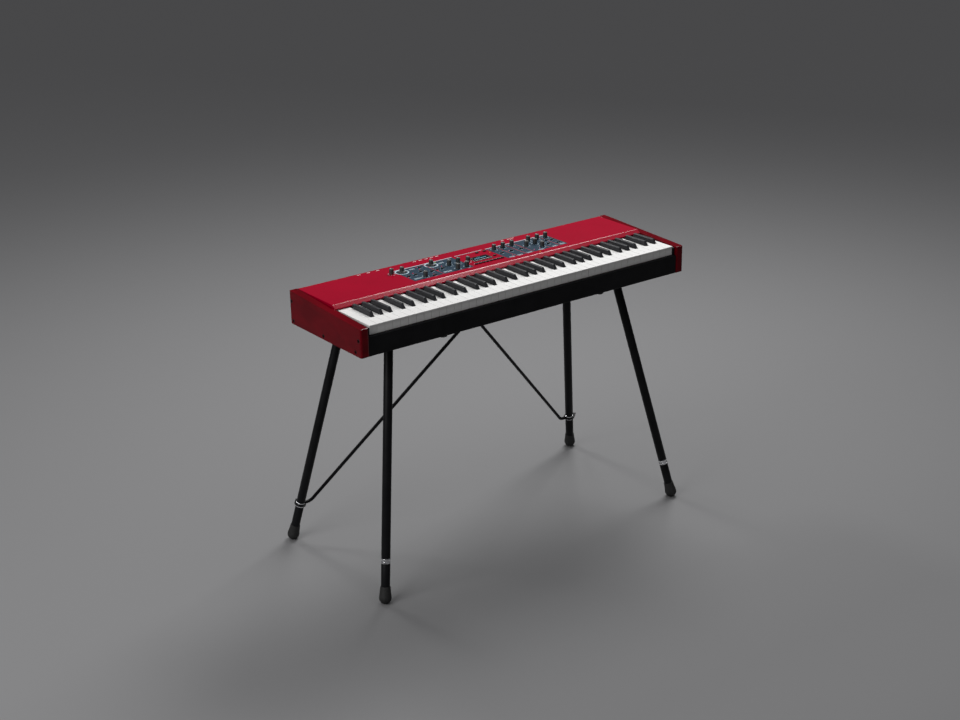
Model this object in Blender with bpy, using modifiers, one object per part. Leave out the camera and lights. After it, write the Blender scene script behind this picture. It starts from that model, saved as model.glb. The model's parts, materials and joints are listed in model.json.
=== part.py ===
"""Stage piano with seventy-three weighted keys, on its four-legged tubular stand.

Units are metres. The origin is on the floor under the middle of the stand, +X points to the treble
end, +Y to the rear panel and +Z up. The case is modelled in its own frame, whose origin is in the
middle of the lower front edge of the cheeks: y runs back from there and z up from the underside.
"""
import math

import bmesh
import bpy
from mathutils import Matrix, Vector

FIT = 0.0003                    # gap between pieces that touch
OVERRUN = 0.0020                # how far a cutter passes the face that it opens

# Case
CASE_DEPTH = 0.336
CASE_HEIGHT = 0.684             # floor to underside of the case
STAND_TO_FRONT = 0.219          # middle of the stand to the front of the cheeks
CHEEK_THICK = 0.024
CHEEK_FRONT_HEIGHT = 0.077
CHEEK_REAR_HEIGHT = 0.092
CHEEK_EDGE = 0.004              # rounding of the wooden cheeks
END_SPACE = 0.00775             # from the last key to the cheek
SHEET = 0.0015                  # folded steel of the case
PANEL_RISE = 0.0126             # top face of the panel above the white keys
PANEL_CREST_Y = 0.1655          # where the flat panel folds into the fall
FALL_FOOT_Y = 0.1500            # lower front edge of the fall
FALL_BEND = 0.006
REAR_BEND = 0.004
REAR_SETBACK = 0.00075          # rear wall before the rear of the cheeks
KEY_CLEARANCE = 0.0014          # fall's lower edge above the white keys
RAIL_HEIGHT = 0.0525            # top of the front rail
RAIL_SETBACK = 0.0022
RAIL_FLANGE = 0.0056
PAN_REAR_UPSTAND = 0.030
FLANGE_FRONT_HEIGHT = 0.0515
FLANGE_REAR_HEIGHT = 0.070
FLANGE_REAR_RUN = 0.080         # level part of the base's end flange, from the rear
FLANGE_SLOPE_RUN = 0.050        # and its slope down to the front part
END_PLATE_GAP = 0.0010          # panel's end plate above the base's end flange
END_PLATE_START = 0.30          # share of the fall's slope where the end plate begins
END_PLATE_IN = 0.0004           # and in from the end of the sheet
HEM_DEPTH = 0.009
HEM_BEND = 0.0012
PANEL_REAR_FOOT = 0.004
PAN_BEND = 0.0022

# Counterbored screw holes of the cheeks, (y, z) in the case frame
CHEEK_HOLES = ((0.327, 0.063), (0.322, 0.010), (0.176, 0.010), (0.012, 0.044), (0.027, 0.011))
COUNTERBORE_RADIUS = 0.0045
COUNTERBORE_DEPTH = 0.0043
COUNTERBORE_SIDES = 8
SCREW_HOLE_RADIUS = 0.0022
SCREW_HOLE_SIDES = 6

# Keys
KEY_COUNT = 73
FIRST_NOTE = 4                  # the lowest key is an E
WHITE_PITCH = 0.0235
WHITE_GAP = 0.0010
WHITE_TOP = 0.0784
WHITE_FRONT_Y = 0.0086
WHITE_PLATE = 0.0034            # thickness of the playing surface
WHITE_LIP = 0.0022              # overhang of the front edge
WHITE_FOOT = 0.0535             # lower edge of the front skirt
HEAD_LENGTH = 0.0474
WHITE_SHOULDER = 0.0003         # head behind its skirt, where the tail is set in
BLACK_END_Y = 0.2190
BLACK_FOOT = 0.0600             # underside of the body ahead of the comb
BLACK_RISE = 0.0118
BLACK_REAR_DROP = 0.0012
BLACK_REAR_LEAN = 0.0015
BLACK_BASE_WIDTH = 0.0108
BLACK_TOP_WIDTH = 0.0090
BLACK_NOSE_SLOPE = 0.0105
BLACK_CAP_END_Y = 0.1380
BLACK_BODY_WIDTH = 0.0096
BLACK_EDGE = 0.0012
BLACK_CLEARANCE = 0.0010
BLACK_CAP_DEPTH = 0.0040        # cap reaches this far below the white keys' top
BLACK_BODY_INSET = 0.0030       # body behind the cap's nose
BLACK_BODY_SINK = 0.0010        # and up into the cap
WHITE_COMB_LOW = (0.2206, 0.0620)      # bar that joins a register's white keys, (y, z)
WHITE_COMB_HIGH = (0.2270, 0.0700)
BLACK_COMB_LOW = (0.1965, 0.0500)      # and its black keys, under the white ones
BLACK_COMB_HIGH = (0.2065, 0.0568)
COMB_COVER = 0.0006                    # key around its comb bar
BLACK_SHIFT = {1: -0.0035, 3: 0.0035, 6: -0.0042, 8: 0.0, 10: 0.0042}
PIVOT_Y = 0.2150
PIVOT_Z = 0.0660
PIVOT_RADIUS = 0.0030
PIVOT_SIDES = 12
ROD_OVERHANG = 0.0015           # rod beyond the ears
REGISTERS = (("low", 0, 24), ("mid", 24, 48), ("high", 48, KEY_COUNT))

# Key bed
FRAME_SHEET = 0.0020
FRAME_FRONT_Y = 0.020
FRAME_STEP_Y = 0.056
FRAME_SHELF_HEIGHT = 0.0395
FRAME_EAR_TOP = 0.074
FRAME_EAR_REACH = 0.012
FRAME_EAR_OVERHANG = 0.0005     # ears beyond the ends of the folded sheet
FRAME_ROD_DROP = 0.0002         # upstand below the bores of the ears
FRAME_BEND = 0.003
FELT_THICK = 0.0032
FELT_MARGIN = 0.004
CONTACT_LOW_Y = 0.118
CONTACT_HIGH_Y = 0.166
CONTACT_BOARD_TOP = 0.0500
CONTACT_STRIP_WIDTH = 0.016
CONTACT_STRIP_TOP = 0.0545
CONTACT_POSTS = 4
BLOCK_DROP = 0.0050             # key block's top below the white keys
BLOCK_SETBACK = 0.004           # and its rear end before the fall
BLOCK_EDGE = 0.001

# Control panel, places in the case frame
KNOB_SIDES = 10
KNOB_RADIUS = 0.0060
KNOB_HEIGHT = 0.0145
KNOB_TAPER = 0.0006
KNOB_LIFT = 0.0008
SKIRT_RADIUS = 0.0110
SKIRT_HEIGHT = 0.0022
SKIRT_CONE = 0.0012             # rise from the skirt's rim to the knob
SKIRT_EDGE = 0.0008
SHAFT_RADIUS = 0.0030
SHAFT_HOLE_SIDES = 6
POINTER_WIDTH = 0.0012
POINTER_DEPTH = 0.0006
POINTER_START = 0.0009          # from the knob's axis
SMALL_KNOBS = {
    "level_knob": (-0.259, 0.275),
    "timbre_knob": (-0.200, 0.202),
    "attack_knob": (-0.096, 0.240),
    "release_knob": (-0.066, 0.240),
    "filter_knob": (-0.096, 0.200),
    "sample_level_knob": (-0.066, 0.200),
    "program_dial": (-0.040, 0.231),
    "effect_1_knob": (0.080, 0.272),
    "effect_2_knob": (0.111, 0.272),
    "effect_3_knob": (0.142, 0.272),
    "drive_knob": (0.170, 0.241),
    "delay_mix_knob": (0.202, 0.274),
    "delay_time_knob": (0.202, 0.243),
    "delay_repeat_knob": (0.202, 0.211),
    "reverb_knob": (0.232, 0.272),
    "tone_knob": (0.262, 0.272),
}
SKIRTED_KNOBS = {
    "piano_select_knob": (-0.229, 0.270),
    "sample_select_knob": (-0.134, 0.270),
}
BUTTON_LENGTH = 0.0092
BUTTON_WIDTH = 0.0042
BUTTON_RISE = 0.0018
BUTTON_BOTTOM = 0.0050          # below the panel's top face
RUNNER_WIDTH = 0.0030           # moulded runner from button to button
RUNNER_LOW = 0.0048             # below the panel's top face
RUNNER_HIGH = 0.0034
SOFT_ROW_FIRST = (-0.035, 0.198)
SOFT_ROW_STEP = 0.0124
SOFT_ROW = tuple((SOFT_ROW_FIRST[0] + SOFT_ROW_STEP * n, SOFT_ROW_FIRST[1]) for n in range(8))
BUTTON_CHAINS = {
    "instrument_buttons": (
        ((-0.235, 0.229), (-0.214, 0.229), (-0.187, 0.243), (-0.169, 0.273)),
        ((-0.187, 0.243), (-0.162, 0.226), (-0.142, 0.228), (-0.126, 0.228)),
        ((-0.162, 0.226), (-0.176, 0.194)),
    ),
    "program_buttons": (
        (*SOFT_ROW, (0.049, 0.228), (0.050, 0.276), (0.025, 0.277)),
    ),
    "effect_buttons": (
        ((0.078, 0.233), (0.111, 0.233), (0.142, 0.230), (0.231, 0.219), (0.260, 0.212)),
        ((0.231, 0.219), (0.226, 0.238), (0.246, 0.246), (0.263, 0.243)),
    ),
}
WINDOW_LOW = (-0.022, 0.221)
WINDOW_HIGH = (0.034, 0.249)
WINDOW_THICK = 0.0012
WINDOW_REBATE = 0.005
WINDOW_EDGE = 0.0004

# Electronics under the panel
BOARD_THICK = 0.0016
BOARD_DROP = 0.0080             # panel's top face to the board's upper face
BOARD_LOW = (-0.275, 0.184)
BOARD_HIGH = (0.285, 0.296)
ENCODER_SIDE = 0.0110
SWITCH_SIDE = 0.0060
SWITCH_HEIGHT = 0.0020
STANDOFF_RADIUS = 0.0025
STANDOFF_INSET = 0.006
STANDOFF_FRONT_INSET = 0.0042
STANDOFF_MIDDLE_X = 0.005
SCREEN_INSET = 0.003            # screen inside the window's outline
MAIN_BOARD_ENDS = (-0.230, 0.190)
MAIN_BOARD_BEHIND_ROD = 0.023
MAIN_BOARD_REAR_GAP = 0.018
MAIN_BOARD_LIFT = 0.010
MAIN_POST_INSET = 0.008
SUPPLY_LENGTH = 0.090           # shielded supply box on the main board
SUPPLY_END_GAP = 0.020
SUPPLY_FRONT_GAP = 0.020
SUPPLY_REAR_GAP = 0.006
SUPPLY_HEIGHT = 0.024

# Rear panel
JACK_SITES = (-0.330, -0.300, -0.270, -0.150, -0.120, -0.090)
JACK_HEIGHT = 0.056
JACK_NUT_RADIUS = 0.0066
JACK_NUT_DEPTH = 0.0030
JACK_BARREL_RADIUS = 0.0046
JACK_BODY_RADIUS = 0.0075
JACK_BODY_DEPTH = 0.018
JACK_END_WALL = 0.0020
JACK_SINK = 0.0008              # bodies set into their board
JACK_BORE_RADIUS = 0.0033
JACK_SIDES = 8
JACK_BOARD_MARGIN = 0.014
JACK_BOARD_HEIGHT = 0.024
INLET_X = 0.165                 # middle of the power inlet's well
INLET_WIDTH = 0.022
INLET_HEIGHT = 0.016
INLET_DEPTH = 0.019
INLET_WALL = 0.0030
INLET_RIM = 0.0030
INLET_RIM_DEPTH = 0.0020
INLET_EDGE = 0.0006
INLET_BACK = 0.0030              # wall behind the well
PIN_SIZE = (0.0020, 0.0040)
PIN_SPREAD = 0.0070
PIN_STAGGER = 0.0025
PIN_DROP = 0.0040               # pins end below the inlet's mouth
ROCKER_WIDTH = 0.012
ROCKER_HEIGHT = 0.019
ROCKER_DEPTH = 0.0085
ROCKER_RISE = 0.0032
ROCKER_END_GAP = 0.0012
ROCKER_WAIST = 0.00144           # middle of its face, outside the axis
ROCKER_BACK_SHARE = 0.55
ROCKER_WELL_DEPTH = 0.0120
ROCKER_PIVOT_DROP = 0.0010      # rocking axis, behind the rear face
ROCKER_TILT = math.radians(9)

# Rubber feet under the case
CASE_FOOT_RADIUS = 0.0120
CASE_FOOT_HEIGHT = 0.0150
CASE_FOOT_INSET = 0.273         # from the end of the case
CASE_FOOT_TAPER = 0.0015
CASE_FOOT_SIDES = 10
CASE_FOOT_YS = (0.040, 0.262)

# Stand
LEG_INSET = 0.152               # leg's axis from the end of the case, LEG_TOP_DROP below the case
LEG_TOP_Y = 0.1095
LEG_TOP_DROP = 0.025
LEG_SPLAY = 0.123               # how far the foot stands out beyond the leg's top
FOOT_Y = 0.234                  # leg's axis at the floor
TUBE_SIDES = 12
TUBE_RADIUS = 0.0120
TUBE_WALL = 0.0015
ROD_RADIUS = 0.0090             # telescoping rod in the leg
ROD_REACH = 0.150
COLLAR_UP = 0.1138              # along the leg from the floor
COLLAR_RADIUS = 0.0125
COLLAR_RING = 0.0046
COLLAR_GROOVE = 0.0040
COLLAR_NECK = 0.020
COLLAR_CLEARANCE = 0.0003
BOOT_HEIGHT = 0.046
BOOT_TOP_RADIUS = 0.0138
BOOT_RADIUS = 0.0166
BOOT_FLAT = 0.0010              # squash of the rounded sole on the floor
PLATE_THICK = 0.0040
PLATE_INWARD = 0.067            # bracket plate inwards from the leg's axis
PLATE_OUTWARD = 0.027
PLATE_FRONT = 0.150             # ahead of the stand's middle
PLATE_REAR = 0.110
PLATE_CORNER = 0.012
SOCKET_RADIUS = 0.0155
SOCKET_DROP = 0.040
SOCKET_OVERRUN = 0.006          # socket's stock above the plate, trimmed off
STAND_SCREW_INWARD = 0.047      # thumb screw inwards from the leg's axis
STAND_SCREW_YS = (0.088, 0.285)   # in the case frame
STAR_RADIUS = 0.0130
STAR_HEIGHT = 0.0200
STAR_LOBES = 6
STAR_WAIST = 0.20               # share of the radius
STUD_RADIUS = 0.0030
STUD_REACH = 0.0090
STUD_SIDES = 6

# Cross struts
STRUT_RADIUS = 0.0048
STRUT_BEND = 0.022
STRUT_START_GAP = 0.003         # from the tube to the rod's end, inside its ring
STRUT_LEVEL_RUN = 0.034         # level stretch from the leg's axis to the bend
STRUT_CROSS_Y = 0.050
STRUT_CROSS_DROP = 0.077        # crossing, below the case
STRUT_PASSING_GAP = 0.0012
STRUT_RING_RADIUS = 0.0165
STRUT_TAB_REACH = 0.027
STRUT_TOP_DROP = 0.030
STRUT_TOP_INSET = 0.0075
STRUT_PLATE_SIZE = (0.170, 0.056)
STRUT_BOSS_RADIUS = 0.0090
STRUT_BOSS_DROP = 0.022
BOSS_SIDES = 10
STRUT_SCREW_X = 0.070

# Worked out from the sizes above
WHITE_KEYS = sum((FIRST_NOTE + key) % 12 not in BLACK_SHIFT for key in range(KEY_COUNT))
KEYS_WIDTH = WHITE_KEYS * WHITE_PITCH
INNER_X = KEYS_WIDTH / 2 + END_SPACE
CASE_WIDTH = 2 * (INNER_X + CHEEK_THICK)
PANEL_HEIGHT = WHITE_TOP + PANEL_RISE
SHELL_X = INNER_X - FIT
CASE_FOOT_X = CASE_WIDTH / 2 - CASE_FOOT_INSET
LEG_TOP_X = CASE_WIDTH / 2 - LEG_INSET
FOOT_X = LEG_TOP_X + LEG_SPLAY
PLATE_INNER_X = LEG_TOP_X - PLATE_INWARD
PLATE_OUTER_X = LEG_TOP_X + PLATE_OUTWARD
STAND_SCREW_X = LEG_TOP_X - STAND_SCREW_INWARD
MAIN_BOARD_LOW = (MAIN_BOARD_ENDS[0], PIVOT_Y + MAIN_BOARD_BEHIND_ROD)
MAIN_BOARD_HIGH = (MAIN_BOARD_ENDS[1], CASE_DEPTH - MAIN_BOARD_REAR_GAP)
PANEL_UNDER = PANEL_HEIGHT - SHEET
BOARD_TOP = PANEL_HEIGHT - BOARD_DROP
ENCODER_TOP = PANEL_UNDER - 0.0010
ROCKER_X = INLET_X + INLET_WIDTH / 2 + INLET_WALL + ROCKER_WIDTH / 2
MODULE_X = (INLET_X - INLET_WIDTH / 2 - INLET_WALL, ROCKER_X + ROCKER_WIDTH / 2 + INLET_WALL)
MODULE_HEIGHT = ROCKER_HEIGHT + 2 * INLET_WALL
REAR_FACE_Y = CASE_DEPTH - REAR_SETBACK
LEG_LEAN = Vector((FOOT_X - LEG_TOP_X, FOOT_Y - LEG_TOP_Y, LEG_TOP_DROP - CASE_HEIGHT))
LEG_SLOPE = -LEG_LEAN.normalized().z

PAINT = ((0.60, 0.006, 0.035), 0.30, 0.0)
STAINED_WOOD = ((0.33, 0.005, 0.018), 0.38, 0.0)
BLACK_STEEL = ((0.018, 0.018, 0.020), 0.42, 0.0)
BARE_STEEL = ((0.52, 0.52, 0.54), 0.35, 1.0)
CHROME = ((0.80, 0.80, 0.80), 0.12, 1.0)
IVORY = ((0.86, 0.86, 0.83), 0.28, 0.0)
EBONY = ((0.030, 0.030, 0.033), 0.45, 0.0)
BLACK_PLASTIC = ((0.03, 0.03, 0.032), 0.45, 0.0)
BUTTON_PLASTIC = ((0.06, 0.06, 0.065), 0.50, 0.0)
SCREEN = ((0.01, 0.012, 0.015), 0.08, 0.0)
BOARD_GREEN = ((0.02, 0.16, 0.08), 0.55, 0.0)
FELT_RED = ((0.30, 0.03, 0.03), 0.95, 0.0)


def start_clean():
    for old in list(bpy.data.objects):
        bpy.data.objects.remove(old, do_unlink=True)
    for name in ("stage_piano", "cutters"):
        bpy.context.scene.collection.children.link(bpy.data.collections.new(name))


def finish_material(name, finish):
    colour, roughness, metallic = finish
    material = bpy.data.materials.new(name)
    material.use_nodes = True
    shader = material.node_tree.nodes["Principled BSDF"]
    shader.inputs["Base Color"].default_value = (*colour, 1.0)
    shader.inputs["Roughness"].default_value = roughness
    shader.inputs["Metallic"].default_value = metallic
    return material


def case_frame():
    """Empty that carries every piece of the case."""
    frame = bpy.data.objects.new("case_frame", None)
    frame.location = (0, -STAND_TO_FRONT, CASE_HEIGHT)
    bpy.data.collections["stage_piano"].objects.link(frame)
    return frame


def add_part(name, mesh, finish, parent=None, matrix=None):
    part = bpy.data.objects.new(name, mesh)
    bpy.data.collections["stage_piano"].objects.link(part)
    part.parent = parent
    if matrix is not None:
        part.matrix_basis = matrix
    mesh.materials.clear()
    mesh.materials.append(finish_material(name + "_finish", finish))
    return part


def combine(part, mesh, operation):
    """Boolean with a tool that shares the part's frame."""
    tool = bpy.data.objects.new(part.name + "_tool", mesh)
    bpy.data.collections["cutters"].objects.link(tool)
    tool.parent = part.parent
    tool.matrix_basis = part.matrix_basis.copy()
    tool.hide_render = True
    tool.display_type = "WIRE"
    modifier = part.modifiers.new(operation.lower(), "BOOLEAN")
    modifier.operation = operation
    modifier.solver = "EXACT"
    modifier.object = tool
    return part


def bevel(part, width, segments, angle=30):
    modifier = part.modifiers.new("rounding", "BEVEL")
    modifier.width = width
    modifier.segments = segments
    modifier.limit_method = "ANGLE"
    modifier.angle_limit = math.radians(angle)
    return part


def smooth(mesh, angle=35):
    mesh.shade_smooth()
    mesh.set_sharp_from_angle(angle=math.radians(angle))
    return mesh


def to_mesh(bm, name="piece"):
    bmesh.ops.recalc_face_normals(bm, faces=bm.faces)
    mesh = bpy.data.meshes.new(name)
    bm.to_mesh(mesh)
    bm.free()
    return mesh


def evaluated(part):
    """The part's finished mesh, with the part and its tools removed."""
    bpy.context.view_layer.update()
    graph = bpy.context.evaluated_depsgraph_get()
    mesh = bpy.data.meshes.new_from_object(part.evaluated_get(graph))
    for modifier in part.modifiers:
        if modifier.type == "BOOLEAN":
            bpy.data.objects.remove(modifier.object, do_unlink=True)
    bpy.data.objects.remove(part, do_unlink=True)
    return mesh


def gather(meshes):
    """Several solids in one mesh."""
    bm = bmesh.new()
    for mesh in meshes:
        bm.from_mesh(mesh)
    mesh = bpy.data.meshes.new("group")
    bm.to_mesh(mesh)
    bm.free()
    return mesh


def moved(mesh, offset=(0, 0, 0), turn=None):
    copy = mesh.copy()
    matrix = Matrix.Translation(offset)
    if turn is not None:
        matrix = matrix @ turn
    copy.transform(matrix)
    return copy


def box(low, high):
    bm = bmesh.new()
    middle = (Vector(low) + Vector(high)) / 2
    size = Vector(high) - Vector(low)
    bmesh.ops.create_cube(bm, size=1, matrix=Matrix.Translation(middle) @ Matrix.Diagonal((*size, 1)))
    return to_mesh(bm)


def cylinder(radius, low, high, segments=16, axis="Z"):
    """Closed cylinder along an axis through the origin, from low to high."""
    turns = {"X": Matrix.Rotation(math.pi / 2, 4, "Y"), "Y": Matrix.Rotation(-math.pi / 2, 4, "X")}
    bm = bmesh.new()
    place = turns.get(axis, Matrix.Identity(4)) @ Matrix.Translation((0, 0, (low + high) / 2))
    bmesh.ops.create_cone(bm, cap_ends=True, segments=segments, radius1=radius, radius2=radius,
                          depth=high - low, matrix=place)
    return smooth(to_mesh(bm))


def around(radius, sides):
    """Radius of a faceted bore whose flats still clear a round piece."""
    return (radius + FIT) / math.cos(math.pi / sides)


def plate(outline, low, high, along):
    """Flat outline made solid between low and high, along X (outline in y, z) or Z (in x, y)."""
    curve = bpy.data.curves.new("outline", "CURVE")
    curve.dimensions = "2D"
    curve.fill_mode = "BOTH"
    curve.extrude = (high - low) / 2
    spline = curve.splines.new("POLY")
    spline.points.add(len(outline) - 1)
    for point, place in zip(spline.points, outline):
        point.co = (place[0], place[1], 0, 1)
    spline.use_cyclic_u = True
    holder = bpy.data.objects.new("outline", curve)
    bpy.data.collections["cutters"].objects.link(holder)
    flat = evaluated(holder)
    bm = bmesh.new()
    bm.from_mesh(flat)
    bmesh.ops.remove_doubles(bm, verts=bm.verts, dist=1e-6)
    for vert in bm.verts:
        a, b, c = vert.co
        level = c + (low + high) / 2
        vert.co = (level, a, b) if along == "X" else (a, b, level)
    return to_mesh(bm)


def rounded_path(points, radius, steps):
    """Polyline whose inner corners are arcs."""
    points = [Vector((*point, 0)) if len(point) == 2 else Vector(point) for point in points]
    path = [points[0]]
    for before, corner, after in zip(points, points[1:], points[2:]):
        back = (before - corner).normalized()
        ahead = (after - corner).normalized()
        half = back.angle(ahead) / 2
        centre = corner + (back + ahead).normalized() * radius / math.sin(half)
        start = corner + back * radius / math.tan(half) - centre
        end = corner + ahead * radius / math.tan(half) - centre
        path += [centre + start.slerp(end, step / steps).normalized() * radius for step in range(steps + 1)]
    return path + [points[-1]]


def rounded_rectangle(low, high, radius, steps):
    corners = [(low[0], low[1]), (high[0], low[1]), (high[0], high[1]), (low[0], high[1])]
    middle = ((low[0] + high[0]) / 2, low[1])
    loop = [middle, *corners[1:], corners[0], middle]
    return [(point.x, point.y) for point in rounded_path(loop, radius, steps)[1:-1]]


def folded_sheet(name, profile, thickness, half_length, finish, parent):
    """Sheet metal folded along a (y, z) profile that gives the middle of its thickness."""
    bm = bmesh.new()
    verts = [bm.verts.new((-half_length, point[0], point[1])) for point in profile]
    edges = [bm.edges.new(pair) for pair in zip(verts, verts[1:])]
    drawn = bmesh.ops.extrude_edge_only(bm, edges=edges)
    far = [item for item in drawn["geom"] if isinstance(item, bmesh.types.BMVert)]
    bmesh.ops.translate(bm, verts=far, vec=(2 * half_length, 0, 0))
    part = add_part(name, to_mesh(bm), finish, parent)
    wall = part.modifiers.new("sheet", "SOLIDIFY")
    wall.thickness = thickness
    wall.offset = 0
    wall.use_even_offset = True
    return part


def turned_mesh(profile, segments, bored=False):
    """Solid of revolution about Z; the profile runs down its outer side, top to bottom.

    A bored one has a closed profile, which comes back up the bore.
    """
    bm = bmesh.new()
    verts = [bm.verts.new((radius, 0, height)) for radius, height in profile]
    for pair in zip(verts, verts[1:] + verts[:1] if bored else verts[1:]):
        bm.edges.new(pair)
    mesh = bpy.data.meshes.new("profile")
    bm.to_mesh(mesh)
    bm.free()
    holder = bpy.data.objects.new("profile", mesh)
    bpy.data.collections["cutters"].objects.link(holder)
    screw = holder.modifiers.new("turn", "SCREW")
    screw.steps = segments
    screw.render_steps = segments
    screw.use_merge_vertices = True
    screw.merge_threshold = 1e-5
    bm = bmesh.new()
    bm.from_mesh(evaluated(holder))
    return smooth(to_mesh(bm))


def make_cheek(name, side, case):
    """Wooden end cheek, with a counterbored hole for each screw."""
    outline = [(0, 0), (CASE_DEPTH, 0), (CASE_DEPTH, CHEEK_REAR_HEIGHT), (0, CHEEK_FRONT_HEIGHT)]
    low, high = sorted((side * INNER_X, side * CASE_WIDTH / 2))
    cheek = add_part(name, plate(outline, low, high, "X"), STAINED_WOOD, case)
    bevel(cheek, CHEEK_EDGE, 2)
    outer = side * CASE_WIDTH / 2
    seat = outer - side * COUNTERBORE_DEPTH
    head = cylinder(COUNTERBORE_RADIUS, *sorted((seat, outer + side * OVERRUN)), COUNTERBORE_SIDES, "X")
    shank = cylinder(SCREW_HOLE_RADIUS, *sorted((outer, side * (INNER_X - OVERRUN))), SCREW_HOLE_SIDES, "X")
    combine(cheek, gather([moved(head, (0, y, z)) for y, z in CHEEK_HOLES]), "DIFFERENCE")
    return combine(cheek, gather([moved(shank, (0, y, z)) for y, z in CHEEK_HOLES]), "DIFFERENCE")


def chain_sites(chains):
    """The places of a button moulding's caps, each once."""
    return list(dict.fromkeys(site for chain in chains for site in chain))


def button_sites():
    return [site for chains in BUTTON_CHAINS.values() for site in chain_sites(chains)]


def knob_sites():
    return [*SMALL_KNOBS.values(), *SKIRTED_KNOBS.values()]


def make_top_panel(case):
    """Painted top: hem, sloping fall over the keys, flat panel and rear wall in one folded sheet.

    A plate welded into each end closes it above the base's end flange.
    """
    fall_z = WHITE_TOP + KEY_CLEARANCE + SHEET / 2
    top_z = PANEL_HEIGHT - SHEET / 2
    rear_y = REAR_FACE_Y - SHEET / 2
    hem = [(FALL_FOOT_Y + HEM_DEPTH, fall_z), (FALL_FOOT_Y, fall_z), (PANEL_CREST_Y, top_z)]
    fall = rounded_path(hem, HEM_BEND, 2)
    crest = rounded_path([(FALL_FOOT_Y, fall_z), (PANEL_CREST_Y, top_z), (rear_y, top_z)], FALL_BEND, 4)
    rear = rounded_path([(PANEL_CREST_Y, top_z), (rear_y, top_z), (rear_y, PANEL_REAR_FOOT)], REAR_BEND, 3)
    profile = [*fall[:-1], *crest[1:-1], *rear[1:]]
    panel = folded_sheet("top_panel", profile, SHEET, SHELL_X, PAINT, case)
    foot = FLANGE_REAR_HEIGHT + END_PLATE_GAP
    start = Vector((FALL_FOOT_Y, fall_z)).lerp(Vector((PANEL_CREST_Y, top_z)), END_PLATE_START)
    outline = [tuple(start), *crest[1:-1], *rear[1:-1], (rear_y, foot), (start.x, foot)]
    end = SHELL_X - END_PLATE_IN
    ends = [plate(outline, *sorted((side * end, side * (end - SHEET))), "X") for side in (-1, 1)]
    combine(panel, gather(ends), "UNION")
    below = PANEL_UNDER - OVERRUN
    above = PANEL_HEIGHT + OVERRUN
    inside = REAR_FACE_Y - SHEET - OVERRUN
    outside = REAR_FACE_Y + OVERRUN
    shaft = cylinder(around(SHAFT_RADIUS, SHAFT_HOLE_SIDES), below, above, SHAFT_HOLE_SIDES)
    slot = box((-BUTTON_LENGTH / 2 - FIT, -BUTTON_WIDTH / 2 - FIT, below),
               (BUTTON_LENGTH / 2 + FIT, BUTTON_WIDTH / 2 + FIT, above))
    window = box((WINDOW_LOW[0] + WINDOW_REBATE, WINDOW_LOW[1] + WINDOW_REBATE, below),
                 (WINDOW_HIGH[0] - WINDOW_REBATE, WINDOW_HIGH[1] - WINDOW_REBATE, above))
    openings = [moved(shaft, (x, y, 0)) for x, y in knob_sites()]
    openings += [moved(slot, (x, y, 0)) for x, y in button_sites()]
    barrel = cylinder(around(JACK_BARREL_RADIUS, JACK_SIDES), inside, outside, JACK_SIDES, "Y")
    openings += [window]
    openings += [moved(barrel, (x, 0, JACK_HEIGHT)) for x in JACK_SITES]
    half = MODULE_HEIGHT / 2 + FIT
    openings += [box((MODULE_X[0] - FIT, inside, JACK_HEIGHT - half),
                     (MODULE_X[1] + FIT, outside, JACK_HEIGHT + half))]
    return combine(panel, gather(openings), "DIFFERENCE")


def make_base_pan(case):
    """Black base: front rail with its top flange, floor, rear upstand, end flanges and rubber feet."""
    middle = SHEET / 2
    inner_rear = REAR_FACE_Y - SHEET - FIT - SHEET / 2
    profile = rounded_path([(RAIL_SETBACK + RAIL_FLANGE, RAIL_HEIGHT - middle),
                            (RAIL_SETBACK + middle, RAIL_HEIGHT - middle),
                            (RAIL_SETBACK + middle, middle), (inner_rear, middle),
                            (inner_rear, PAN_REAR_UPSTAND)], PAN_BEND, 2)
    pan = folded_sheet("base_pan", profile, SHEET, SHELL_X, BLACK_STEEL, case)
    front = RAIL_SETBACK + SHEET + FIT
    rear = inner_rear - SHEET / 2 - FIT
    slope = rear - FLANGE_REAR_RUN
    outline = [(front, SHEET / 2), (rear, SHEET / 2), (rear, FLANGE_REAR_HEIGHT), (slope, FLANGE_REAR_HEIGHT),
               (slope - FLANGE_SLOPE_RUN, FLANGE_FRONT_HEIGHT), (front, FLANGE_FRONT_HEIGHT)]
    flanges = [plate(outline, *sorted((side * SHELL_X, side * (SHELL_X - SHEET))), "X") for side in (-1, 1)]
    combine(pan, gather(flanges), "UNION")
    foot = turned_mesh([(0, SHEET / 2), (CASE_FOOT_RADIUS, SHEET / 2),
                        (CASE_FOOT_RADIUS - CASE_FOOT_TAPER, -CASE_FOOT_HEIGHT), (0, -CASE_FOOT_HEIGHT)],
                       CASE_FOOT_SIDES)
    feet = [moved(foot, (side * CASE_FOOT_X, y, 0)) for side in (-1, 1) for y in CASE_FOOT_YS]
    combine(pan, gather(feet), "UNION")
    stud = cylinder(around(STUD_RADIUS, STUD_SIDES), -OVERRUN, SHEET + OVERRUN, STUD_SIDES)
    holes = [moved(stud, (x, y, 0)) for x, y in stand_screw_sites()]
    for side in (-1, 1):
        ends = sorted((side * (SHELL_X - SHEET - OVERRUN), side * (SHELL_X + OVERRUN)))
        screw = cylinder(SCREW_HOLE_RADIUS, *ends, SCREW_HOLE_SIDES, "X")
        holes += [moved(screw, (0, y, z)) for y, z in CHEEK_HOLES]
    return combine(pan, gather(holes), "DIFFERENCE")


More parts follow.
